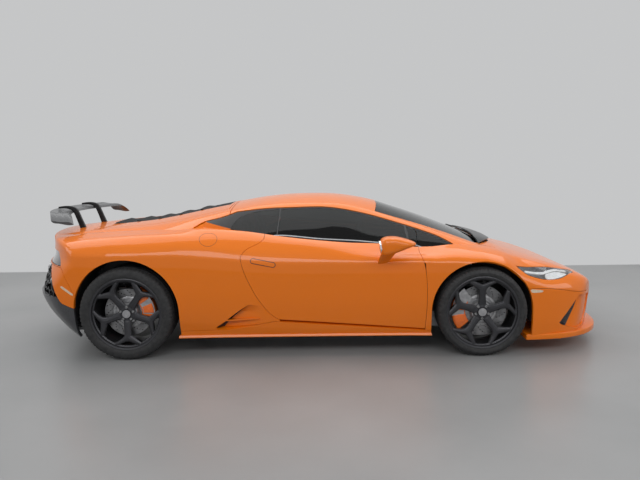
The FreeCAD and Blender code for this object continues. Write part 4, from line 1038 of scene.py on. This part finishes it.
HANDLE = ((-366, 726), (-221, 696))
FRONT_MARKER = region(SIDE, (1651, 496), [(1766, 485)], [(1747, 468)], [(1664, 467)])
REAR_MARKER = ((-1786, 552), (-1702, 496))
FILLER, FILLER_RING = (-700.0, 850.0), (64, 66)
SPLITTER = outline((1640, 0), [(1640, 912)],
                   [(1900, 880), (2120, 775), (2240, 650), (2310, 500), (2345, 300), (2358, 0)])
SKIRT = [(-30, 146), (6, 146), (9, 152), (3, 166), (-30, 168)]
BLANK_PLATE = [(-260, 250), (260, 250), (260, 362), (-260, 362)]
WIPER_ARM = [(1490, -300), (1450, -240), (1415, -100), (1385, 60)]
WIPER_BLADE = [(1405, -420), (1410, -200), (1392, 20), (1350, 240), (1300, 430)]


def make_trim():
    """Handles, marker lamps, filler ring, splitter, skirts, blank plate and wiper."""
    near = HULL.within(band(1, 600, FAR))
    handle = near.within(capsule(SIDE, *HANDLE, 40)).refined(2)
    shadow = handle.within(capsule(SIDE, *HANDLE, 20)).moved(0.8)
    left_and_right("handle_shadow", shadow, FILM, M["black"], "paint", body="door")
    handle = handle.within(capsule(SIDE, *HANDLE, 15)).moved(5)
    left_and_right("handle", handle, 6, M["paint"], "paint", body="door")
    rear = near.within(capsule(SIDE, *REAR_MARKER, 40)).refined(1).within(capsule(SIDE, *REAR_MARKER, 8))
    for name, marker in (("front_marker", near.within(FRONT_MARKER)), ("rear_marker", rear)):
        left_and_right(name, marker.moved(1.2), TRIM, M["marker"], "lens")
    flap = np.array([*FILLER, hull_top(*np.array(FILLER)[:, None])[0]])

    def away(p):
        return np.linalg.norm(p - flap, axis=1)
    inner, outer = FILLER_RING
    ring = near.within(lambda p: 90 - away(p)).refined(3)
    ring = ring.within(lambda p: outer - away(p), lambda p: away(p) - inner)
    both_of("filler_ring", ring.moved(0.5), 1, M["black"], "body", "paint")

    plan = [tuple(q) for q in SPLITTER] + [(a, -b) for a, b in SPLITTER[:0:-1] if b > 0]
    lip = prism("splitter", lambda a, b: (a, b, 108), plan, (0, 0, 42), M["paint"], 9)
    finish_piece(lip, "body", "paint")
    skirt = []
    for x in np.linspace(-935, 945, 30):
        y = float(hull_side(np.array([x]), np.array([170.0]))[0])
        skirt.append(np.array([(x, y + out, z) for out, z in SKIRT]))
    on_sides(loft("skirt_left", skirt, M["paint"]), "body", "paint")
    plate = prism("blank_plate", lambda a, b: (2344, a, b), BLANK_PLATE, (13, 0, 0), M["carbon"], 2)
    finish_piece(plate, "body", "paint")
    for name, path, rise in (("wiper", WIPER_ARM, 16), ("wiper_blade", WIPER_BLADE, 9)):
        finish_piece(tube(name, on_glass(path, rise), 6, M["black"]), "body", "black_trim")


WING_HALF, WING_FRONT, WING_REAR, WING_Z = 660.0, -1965.0, -2112.0, 1062.0
WING_TOP = [(0, -14), (30, 2), (100, 8), (160, 12), (220, 20)]
WING_UNDER = [(220, 20), (214, 12), (150, -4), (40, -18), (0, -14)]
WING_GROWTH, WING_SWEEP = 28, 195
WING_DROOP, DROOP_FROM = 62, 0.84
PYLON = outline((-1828, 880), [(-1888, 1025), (-1922, 1086), (-1972, 1103), (-2062, 1098)],
                [(-2064, 1082)], [(-1985, 1080), (-1952, 1064), (-1924, 1015), (-1880, 880)])
MIRROR = [(546, 853), (558, 886), (631, 909), (728, 892), (805, 854), (753, 826), (647, 786), (566, 779)]
MIRROR_Y, MIRROR_HALF = 1020, 79
MIRROR_MIDDLE = (660, 848)
MIRROR_GLASS = [(962, 822), (975, 800), (1060, 800), (1080, 824), (1074, 862), (1050, 880), (985, 878),
                (964, 856)]
# Across, along and up, and half of the length and height of the section there
MIRROR_FOOT = ((900, 588, 704, 44, 15), (930, 600, 736, 50, 17), (965, 622, 782, 60, 20),
               (990, 640, 812, 62, 20))


def make_rear_wing():
    """Blade with drooped tips on two swan-neck pylons."""
    rings = []
    section = np.concatenate([spline(WING_TOP, 6), spline(WING_UNDER, 6)[1:-1]])
    for y in np.linspace(-WING_HALF, WING_HALF, 61):
        share = abs(y) / WING_HALF
        chord = WING_FRONT - WING_REAR + WING_GROWTH * share ** 2
        droop = WING_DROOP * max(0, (share - DROOP_FROM) / (1 - DROOP_FROM)) ** 2
        x = WING_FRONT + WING_SWEEP * share ** 2 - section[:, 0] * chord / WING_TOP[-1][0]
        rings.append(np.stack([x, 0 * x + y, WING_Z + section[:, 1] - droop], 1))
    finish_piece(loft("wing_blade", rings, M["satin"]), "body", "dark_gloss", "rear_wing")
    pylon = prism("wing_pylon_left", lambda a, b: (a, 226, b), PYLON, (0, 28, 0), M["gloss"], 5)
    on_sides(pylon, "body", "dark_gloss")


def make_mirrors():
    """Rounded housing on a swept foot, with its glass at the back."""
    shape = spline(MIRROR + MIRROR[:1], 7)[:-1] - MIRROR_MIDDLE
    rings = []
    for t in np.sin(np.linspace(-1, 1, 25) * math.pi / 2):
        size = max(0.12, (1 - abs(t) ** 3) ** (1 / 3))
        at = shape * size + MIRROR_MIDDLE
        rings.append(np.stack([at[:, 0], np.full(len(at), MIRROR_Y + MIRROR_HALF * t), at[:, 1]], 1))
    on_sides(loft("mirror_housing_left", rings, M["paint"]), "door_SIDE", "paint", "mirror_SIDE")
    turns = np.linspace(0, 2 * np.pi, 25)[:-1]
    c, s = np.cos(turns), np.sin(turns)
    rings = [np.stack([x + a * c, 0 * turns + y, z + b * s + 0.25 * a * c], 1)
             for y, x, z, a, b in MIRROR_FOOT]
    on_sides(loft("mirror_foot_left", rings, M["paint"]), "door_SIDE", "paint")
    glass = prism("mirror_glass_left", lambda a, b: (546 - 0.15 * (b - 850), a, b), MIRROR_GLASS,
                  (14, 0, 0), M["mirror"], 3)
    on_sides(glass, "door_SIDE", "paint")


FIN_YS = (144, 334, 524)


def make_diffuser():
    """Floor and upright fins of the lower tail, and the dark inside of the exhaust tips."""
    plan = outline((-1972, 0), [(-1945, 420), (-1870, 560)], [(-1735, 590)], [(-1735, 0)])
    plan = [tuple(q) for q in plan[:-1]] + [(a, -b) for a, b in plan[::-1] if b > 0]
    floor = prism("diffuser_floor", lambda a, b: (a, b, 146), plan, (0, 0, 10), M["carbon"], 2)
    finish_piece(floor, "body", "dark_gloss")
    for k, y in enumerate(FIN_YS):
        tail = [(float(along(TAIL, y) + along(TAIL_SET_BACK, z)), z) for z in (300, 240, 190, 150)]
        edge = outline((tail[0][0] + 40, 300), [(x - 14, z) for x, z in tail], [(tail[-1][0] + 30, 118)],
                       [(-1800, 118)], [(-1760, 152)], [(-1860, 190)])
        fin = prism("diffuser_fin_%d_left" % k, lambda a, b: (a, y - 4, b), edge, (0, 8, 0), M["carbon"], 2)
        on_sides(fin, "body", "dark_gloss")
    dark = tube("exhaust_dark_left", [(x, *EXHAUST) for x in (-2086, -2080, -2074)], 51, M["slat"], 32)
    on_sides(dark, "body", "steel")


# Cabin
SEAT_PATH = [(226, 232), (200, 292), (130, 318), (20, 300), (-120, 282), (-235, 292), (-300, 350),
             (-336, 470), (-368, 640), (-398, 790), (-428, 890), (-456, 955), (-484, 980)]
SEAT_Y = 370.0
SEAT_HALF = [(0, 205), (0.12, 235), (0.4, 232), (0.62, 246), (0.8, 200), (0.88, 128), (1, 92)]
SEAT_BOLSTER = [(0, 4), (0.12, 30), (0.4, 52), (0.6, 66), (0.78, 40), (0.88, 8), (1, 2)]
SEAT_THICKNESS = [(0, 40), (0.1, 62), (0.4, 66), (0.7, 58), (1, 34)]
SEAT_BASE = [(-290, 149), (190, 149), (170, 235), (-250, 215)]
SEAM_AT, SEAM_DEPTH = 0.5, 5
CHANNEL_STEP, CHANNEL_DEPTH = 62, 3.5
WHEEL_HUB, COLUMN_END = (440.0, SEAT_Y, 690.0), (760.0, SEAT_Y, 600.0)
GRIP_RADIUS, FLAT_FOOT = 176, 150


def make_seat_form():
    """Shell seat: bolsters beside a channelled middle, narrower at the head."""
    line = spline(SEAT_PATH, 8)
    ways = np.gradient(line, axis=0)
    ways /= np.linalg.norm(ways, axis=1)[:, None]
    length = np.concatenate([[0], np.cumsum(np.linalg.norm(np.diff(line, axis=0), axis=1))])
    share = length / length[-1]
    half, side = along(SEAT_HALF, share), along(SEAT_BOLSTER, share)
    thick = along(SEAT_THICKNESS, share)
    rings = []
    around = np.linspace(-1, 1, 41)
    edge = np.abs(around)
    for k in range(len(line)):
        face = side[k] * np.clip((edge - SEAM_AT) / 0.32, 0, 1) ** 1.5
        face = face * np.sqrt(np.clip((1 - edge) / 0.2, 0, 1))
        seam = SEAM_DEPTH * np.exp(-((edge - SEAM_AT) / 0.02) ** 2)
        in_channel = abs(math.sin(length[k] * math.pi / CHANNEL_STEP)) < 0.16
        channel = CHANNEL_DEPTH * in_channel * (edge < 0.48)
        ends = 1 if 3 < k < len(line) - 4 else 0.6
        up = face * ends - seam - channel
        round_off = np.sqrt(np.clip(1 - edge ** 8, 0, 1))
        front = up - (1 - round_off) * thick[k] * 0.5
        back = -thick[k] + (1 - round_off) * thick[k] * 0.5
        normal = np.array([ways[k, 1], -ways[k, 0]])
        heights = np.concatenate([front, np.broadcast_to(back, front.shape)[::-1][1:-1]])
        across = np.concatenate([around, around[::-1][1:-1]]) * half[k]
        spot = line[k] + heights[:, None] * normal
        rings.append(np.stack([spot[:, 0], SEAT_Y + across, spot[:, 1]], 1))
    return rings


def make_cabin():
    """Seats on their bases, and the steering wheel with its column."""
    rings = make_seat_form()
    for side, sign in (("left", 1), ("right", -1)):
        seat = loft("seat_" + side, [r * [1, sign, 1] for r in rings], M["leather"])
        finish_piece(seat, "body", "leather", *(["seats"] if sign > 0 else []))
    base = prism("seat_base_left", lambda a, b: (a, SEAT_Y - 170, b), SEAT_BASE, (0, 340, 0), M["black"], 8)
    on_sides(base, "body", "cabin")
    hub, end = np.array(WHEEL_HUB), np.array(COLUMN_END)
    axis = (hub - end) / np.linalg.norm(hub - end)
    across = np.array([0.0, 1.0, 0.0])
    upward = np.cross(axis, across)
    upward *= np.sign(upward[2])
    turns = np.linspace(0, 2 * np.pi, 65)
    radius = np.minimum(GRIP_RADIUS, FLAT_FOOT / np.maximum(-np.cos(turns), 0.1))
    rim = [hub + q * (across * math.sin(t) + upward * math.cos(t)) for q, t in zip(radius, turns)]
    wheel = [tube("rim", rim, 15, M["leather"], 14)]
    for a in (90, 180, 270):
        way = across * math.sin(math.radians(a)) + upward * math.cos(math.radians(a))
        spoke = [hub + way * 20 - axis * 14, hub + way * 90 - axis * 10, hub + way * 145]
        wheel.append(tube("spoke", spoke, 12, M["leather"], 10))
    wheel.append(tube("boss", [hub + axis * d for d in (-22, -14, 6, 10)], 50, M["leather"], 24))
    wheel.append(tube("column", [end, (hub + end) / 2, hub - axis * 10], 20, M["leather"], 16))
    finish_piece(fused("steering_wheel_trim", *wheel), "steering_wheel", "leather", "steering_wheel")


# Wheels and brakes
RIM = 262.0
SPOKES = 5
WHEELS = {"front": {"at": (AXLE_X, 834.0, 327.5), "half": 122.5, "radius": 327.5, "disc": 190.0, "turn": 0,
                    "caliper": -92, "body": "wheel_front_SIDE", "held": "upright_SIDE"},
          "rear": {"at": (-AXLE_X, 810.0, 345.5), "half": 152.5, "radius": 345.5, "disc": 178.0, "turn": 36,
                   "caliper": 62, "body": "wheel_rear_SIDE", "held": "body"}}
SPOKE = region(SIDE, (-31, 40), [(-25, 105), (-27, 165)], [(-104, 219)], [(-84, 240)], [(0, 206)],
               [(84, 240)], [(104, 219)], [(27, 165), (25, 105), (31, 40)])
SPOKE_GRID = (46, 281)
DISC_GRID = (17, 241)
FACE_SET_BACK = 22.0
FACE_DEPTH = 22.0
SPOKE_HUB, SPOKE_RING = 64, 240
EDGE_BEVEL, RIDGE = 6, 5
DISC_SET_BACK = 86.3
SPOKE_DEPTH = 38
DISC_THICKNESS = 34.0
DISC_INNER = 120
DISC_HOLES, HOLE_RADIUS = 60, 4.5
BOLT_RING, PIN_RING, PINS = 49, 109, 10
TREAD_DEPTH, SIPE_DEPTH, SIPES = 7, 5.0, 72


def make_tyre(end, w):
    """Tyre with grooves round its tread and sipes in its shoulders."""
    h, r = w["half"], w["radius"]
    side = [(-h + 14, RIM + 1), (-h + 7, RIM + 11), (-h + 0.6, RIM + 22), (-h, RIM + 36),
            (-h + 3, r - 26), (-h + 9, r - 12), (-h + 20, r - 4)]
    tread = []
    for share in (-0.55, -0.19, 0.19, 0.55):
        top = r - 3 * share ** 2
        tread += [(share * h + across, top - down)
                  for across, down in ((-5, 0), (-4, TREAD_DEPTH), (4, TREAD_DEPTH), (5, 0))]
    profile = side + tread + [(-y, radius) for y, radius in reversed(side)]

    def sipes(y, radius, turn):
        shoulder = (np.abs(y) > 0.62 * h) & (radius > r - 13)
        return np.where(shoulder & (turn * SIPES / (2 * np.pi) % 1 < 0.2), SIPE_DEPTH, 0.0)
    tyre = lathe("tyre_%s_detail_left" % end, profile, [w["at"]], M["rubber"], 288, sipes)
    on_sides(tyre, w["body"], "tyre", "tyre_%s_SIDE" % end)


def polar_grid(inner, outer, rows, columns):
    """Flat ring of points about the wheel's axis."""
    radii, turns = np.linspace(inner, outer, rows), np.linspace(0, 2 * np.pi, columns)
    r, turn = np.meshgrid(radii, turns, indexing="ij")
    return np.stack([r * np.sin(turn), 0 * r, r * np.cos(turn)], -1).reshape(-1, 3)


def spoke_pattern(p):
    """Above zero on the spokes, hub and outer ring, about the wheel's centre."""
    r = np.hypot(p[:, 0], p[:, 2])
    values = [SPOKE_HUB - r, r - SPOKE_RING]
    for k in range(SPOKES):
        turn = 2 * math.pi / SPOKES * k
        x = p[:, 0] * math.cos(turn) - p[:, 2] * math.sin(turn)
        z = p[:, 0] * math.sin(turn) + p[:, 2] * math.cos(turn)
        values.append(SPOKE(np.stack([x, 0 * x, z], 1)))
    return np.max(values, axis=0)


def spoke_face(p):
    """Front of the spokes: dished towards the hub, with bevelled edges and a raised middle."""
    r = np.hypot(p[:, 0], p[:, 2])
    rise = np.clip((r - 55) / 190, 0, 1)
    edge = np.clip(spoke_pattern(p) / EDGE_BEVEL, 0, 1)
    ridge = np.clip(spoke_pattern(p) / 26, 0, 1)
    return -FACE_DEPTH * (1 - rise) ** 1.6 - EDGE_BEVEL * (1 - edge) + RIDGE * ridge - 4


def make_spokes(end, w):
    """Forked spokes cut from a dished face."""
    points = polar_grid(30, 249, *SPOKE_GRID)
    points[:, 1] = spoke_face(points)
    mesh = Mesh(points, normals_of(lambda p: p[:, 1] - spoke_face(p), points), grid_faces(*SPOKE_GRID))
    mesh = outward(mesh).tidy().within(spoke_pattern)
    start = math.radians(w["turn"])
    c, s = math.cos(start), math.sin(start)
    spin = np.array([[c, 0, -s], [0, 1, 0], [s, 0, c]])
    face = np.array(w["at"]) + [0, w["half"] - FACE_SET_BACK, 0]
    mesh = Mesh(mesh.points @ spin + face, mesh.normals @ spin, mesh.faces)
    for side, half in (("left", mesh), ("right", mesh.mirrored())):
        back = half.points.copy()
        back[:, 1] = np.sign(half.points[:, 1]) * (face[1] - SPOKE_DEPTH)
        obj = shell("spokes_%s_%s" % (end, side), half, 0, M["graphite"], None, back)
        finish_piece(obj, w["body"].replace("SIDE", side), "rim", "rim_%s_%s" % (end, side))


def ring_of(centre, radius, count, turn=0.0):
    """Places round a centre in the wheel's plane."""
    turns = [math.radians(turn) + 2 * math.pi * k / count for k in range(count)]
    return [(centre[0] + radius * math.sin(t), centre[1], centre[2] + radius * math.cos(t)) for t in turns]


def make_rim(end, w):
    """Barrel, plain cap, bolts and valve."""
    h, (x, y, z) = w["half"], w["at"]
    a, b = -h + 10, h - 10
    profile = [(a, 250), (a, 271), (a + 7, 271), (a + 9, 261), (b - 9, 261), (b - 7, 271), (b, 271),
               (b + 2, 266), (b - 2, 254), (b - 14, 249), (b - 44, 241), (a + 40, 243), (a + 6, 248)]
    on_sides(lathe("barrel_%s_left" % end, profile, [w["at"]], M["graphite"], 128), w["body"], "rim")
    face = (x, y + h - FACE_SET_BACK, z)
    cap = [(-40, 0.1), (-40, 33), (-21, 33), (-17, 30), (-16, 12), (-16, 0.1)]
    on_sides(lathe("cap_%s_left" % end, cap, [face], M["gloss"], 48), w["body"], "rim")
    bolt = [(-38, 0.1), (-38, 10), (-16, 10), (-13, 7), (-18, 6), (-18, 0.1)]
    bolts = lathe("bolts_%s_left" % end, bolt, ring_of(face, BOLT_RING, SPOKES, w["turn"] + 36), M["steel"],
                  12)
    on_sides(bolts, w["body"], "rim")
    valve = tube("valve_%s_left" % end, [(x, y + h - 40, z + 243), (x, y + h - 18, z + 232)], 4, M["black"])
    on_sides(valve, w["body"], "rim")


def make_disc(end, w):
    """Drilled friction ring on its hat, with its pins."""
    (x, y, z), h, outer = w["at"], w["half"], w["disc"]
    y = y + h - FACE_SET_BACK - DISC_SET_BACK
    holes = [(math.radians(6 * k), outer - 12 - 15 * (k % 4)) for k in range(DISC_HOLES)]

    def solid_part(p):
        r = np.hypot(p[:, 0], p[:, 2])
        gaps = [np.hypot(p[:, 0] - q * math.sin(t), p[:, 2] - q * math.cos(t)) - HOLE_RADIUS
                for t, q in holes]
        return np.min([outer - r, r - DISC_INNER] + gaps, axis=0)
    points = polar_grid(DISC_INNER - 2, outer + 2, *DISC_GRID)
    normals = np.tile([0.0, 1.0, 0.0], (len(points), 1))
    ring = outward(Mesh(points, normals, grid_faces(*DISC_GRID))).tidy().within(solid_part)
    ring = Mesh(ring.points + [x, y + DISC_THICKNESS / 2, z], ring.normals, ring.faces)
    for side, half in (("left", ring), ("right", ring.mirrored())):
        obj = shell("disc_%s_%s_ring" % (end, side), half, DISC_THICKNESS, M["iron"])
        finish_piece(obj, w["body"].replace("SIDE", side), "disc", "disc_%s_%s" % (end, side))
    hat = [(-12, 121), (12, 121), (14, 118), (14, 100), (9, 98), (9, 86), (40, 78), (46, 74), (46, 31),
           (40, 31), (40, 70), (4, 80), (-12, 80)]
    on_sides(lathe("hat_%s_left" % end, hat, [(x, y, z)], M["alloy"], 96), w["body"], "disc")
    pin = [(8, 0.1), (8, 6), (18, 6), (19, 4), (19, 0.1)]
    pins = lathe("pins_%s_left" % end, pin, ring_of((x, y, z), PIN_RING, PINS), M["steel"], 12)
    on_sides(pins, w["body"], "disc")


def arc_block(name, w, radii, spread, ys, material, bevel):
    """Block over a stretch of ring about the wheel's axis."""
    (x, y, z), middle = w["at"], math.radians(w["caliper"])
    y = y + w["half"] - FACE_SET_BACK - DISC_SET_BACK
    turns = np.radians(np.linspace(-spread, spread, 9)) + middle
    points = [(radii[1], t) for t in turns] + [(radii[0], t) for t in turns[::-1]]
    return prism(name, lambda r, t: (x + r * math.sin(t), y + ys[0], z + r * math.cos(t)), points,
                 (0, ys[1] - ys[0], 0), material, bevel)


def make_caliper(end, w):
    """Caliper that bridges the disc, with two raised pads."""
    d, paint = w["disc"], M["caliper"]
    blocks = [arc_block("a", w, (d - 72, d + 27), 38, (20, 43), paint, 7),
              arc_block("b", w, (d + 8, d + 27), 34, (-44, 42), paint, 4),
              arc_block("c", w, (d - 68, d + 26), 37, (-44, -20), paint, 5)]
    for k in (-1, 1):
        turned = dict(w, caliper=w["caliper"] + k * 17)
        blocks.append(arc_block("d", turned, (d - 58, d + 18), 11, (40, 49), paint, 4))
    on_sides(fused("caliper_%s_left" % end, *blocks), w["held"], "upright")


def make_wheels():
    for end, w in WHEELS.items():
        make_tyre(end, w)
        make_spokes(end, w)
        make_rim(end, w)
        make_disc(end, w)
        make_caliper(end, w)


# Stage, light and camera, in metres
WALL_FOOT = 2.8
WORLD_LIGHT = 0.25
BACKGROUND = (0.56, 0.565, 0.57, 1)
YAW, PITCH, ROLL = 0.0141, 0.1301, 0.0151
CAMERA_AT = (0.1074, -5.2295, 1.4403)
LENS, SENSOR = 33.75, 36
# name: (place, target, length, width, power)
LIGHTS = {
    "ceiling": ((0, 1.0, 4.4), (0, 1.0, 0), 10, 4.6, 235),
    "side_wall": ((0, -6.5, 4.6), (0, 0, 0.5), 10, 2.2, 235),
    "front_corner": ((7.0, -2.5, 3.2), (1.5, 0, 0.5), 2.5, 2.5, 50),
    "rear_corner": ((-7.0, -1.5, 3.2), (-1.5, 0, 0.5), 2.5, 2.5, 40),
}


def make_stage():
    """Pale floor up to the wall's foot, and a background that shows pale but lights little."""
    pale = material("pale_floor", (0.31, 0.315, 0.32), 0.32, 0.0, {})
    mottle(pale, (0.29, 0.295, 0.297), (0.335, 0.338, 0.34), 0.9, 6)
    corners = [(-40, -12, 0), (40, -12, 0), (40, WALL_FOOT, 0), (-40, WALL_FOOT, 0)]
    floor = new_object("floor", corners, [(0, 1, 2, 3)], [pale])
    world = bpy.data.worlds.new("studio")
    bpy.context.scene.world = world
    world.use_nodes = True
    tree = world.node_tree
    light = tree.nodes["Background"]
    light.inputs["Color"].default_value = (1, 1, 1, 1)
    light.inputs["Strength"].default_value = WORLD_LIGHT
    shown = tree.nodes.new("ShaderNodeBackground")
    shown.inputs["Color"].default_value = BACKGROUND
    paths = tree.nodes.new("ShaderNodeLightPath")
    seen = paths.outputs["Is Camera Ray"]
    for ray in ("Is Glossy Ray", "Is Transmission Ray"):
        either = tree.nodes.new("ShaderNodeMath")
        either.operation = "MAXIMUM"
        tree.links.new(seen, either.inputs[0])
        tree.links.new(paths.outputs[ray], either.inputs[1])
        seen = either.outputs["Value"]
    mix = tree.nodes.new("ShaderNodeMixShader")
    tree.links.new(seen, mix.inputs["Fac"])
    tree.links.new(light.outputs["Background"], mix.inputs[1])
    tree.links.new(shown.outputs["Background"], mix.inputs[2])
    tree.links.new(mix.outputs["Shader"], tree.nodes["World Output"].inputs["Surface"])


def make_lights():
    for name, (at, target, length, width, power) in LIGHTS.items():
        data = bpy.data.lights.new(name, "AREA")
        data.shape = "RECTANGLE"
        data.size, data.size_y, data.energy = length, width, power
        obj = bpy.data.objects.new(name, data)
        bpy.context.scene.collection.objects.link(obj)
        obj.location = at
        obj.rotation_euler = (Vector(target) - Vector(at)).to_track_quat("-Z", "Y").to_euler()


def make_camera():
    """The photo's camera, looking at the car's right side."""
    across = Vector((math.cos(YAW), math.sin(YAW), 0))
    ahead = Vector((-math.sin(YAW), math.cos(YAW), 0))
    forward = ahead * math.cos(PITCH) - Vector((0, 0, math.sin(PITCH)))
    upward = ahead * math.sin(PITCH) + Vector((0, 0, math.cos(PITCH)))
    right = across * math.cos(ROLL) - upward * math.sin(ROLL)
    up = across * math.sin(ROLL) + upward * math.cos(ROLL)
    data = bpy.data.cameras.new("camera")
    data.lens, data.sensor_width = LENS, SENSOR
    camera = bpy.data.objects.new("camera", data)
    bpy.context.scene.collection.objects.link(camera)
    axes = Matrix((right, up, -forward)).transposed().to_4x4()
    camera.matrix_world = Matrix.Translation(CAMERA_AT) @ axes
    bpy.context.scene.camera = camera


def dress_frame():
    """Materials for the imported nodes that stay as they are."""
    kept = {"alloy": ("chassis", "engine_block", "wishbones", "rear_uprights", "upright_left",
                      "upright_right"),
            "black": ("wheel_liners", "dashboard"), "steel": ("exhaust_tips",)}
    for finish, nodes in kept.items():
        for name in nodes:
            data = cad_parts[name].data
            data.materials.clear()
            data.materials.append(M[finish])


make_stage()
make_lights()
make_camera()
dress_frame()
make_body()
make_trim()
make_rear_wing()
make_mirrors()
make_diffuser()
make_cabin()
make_wheels()

bpy.context.scene.view_settings.view_transform = "Standard"
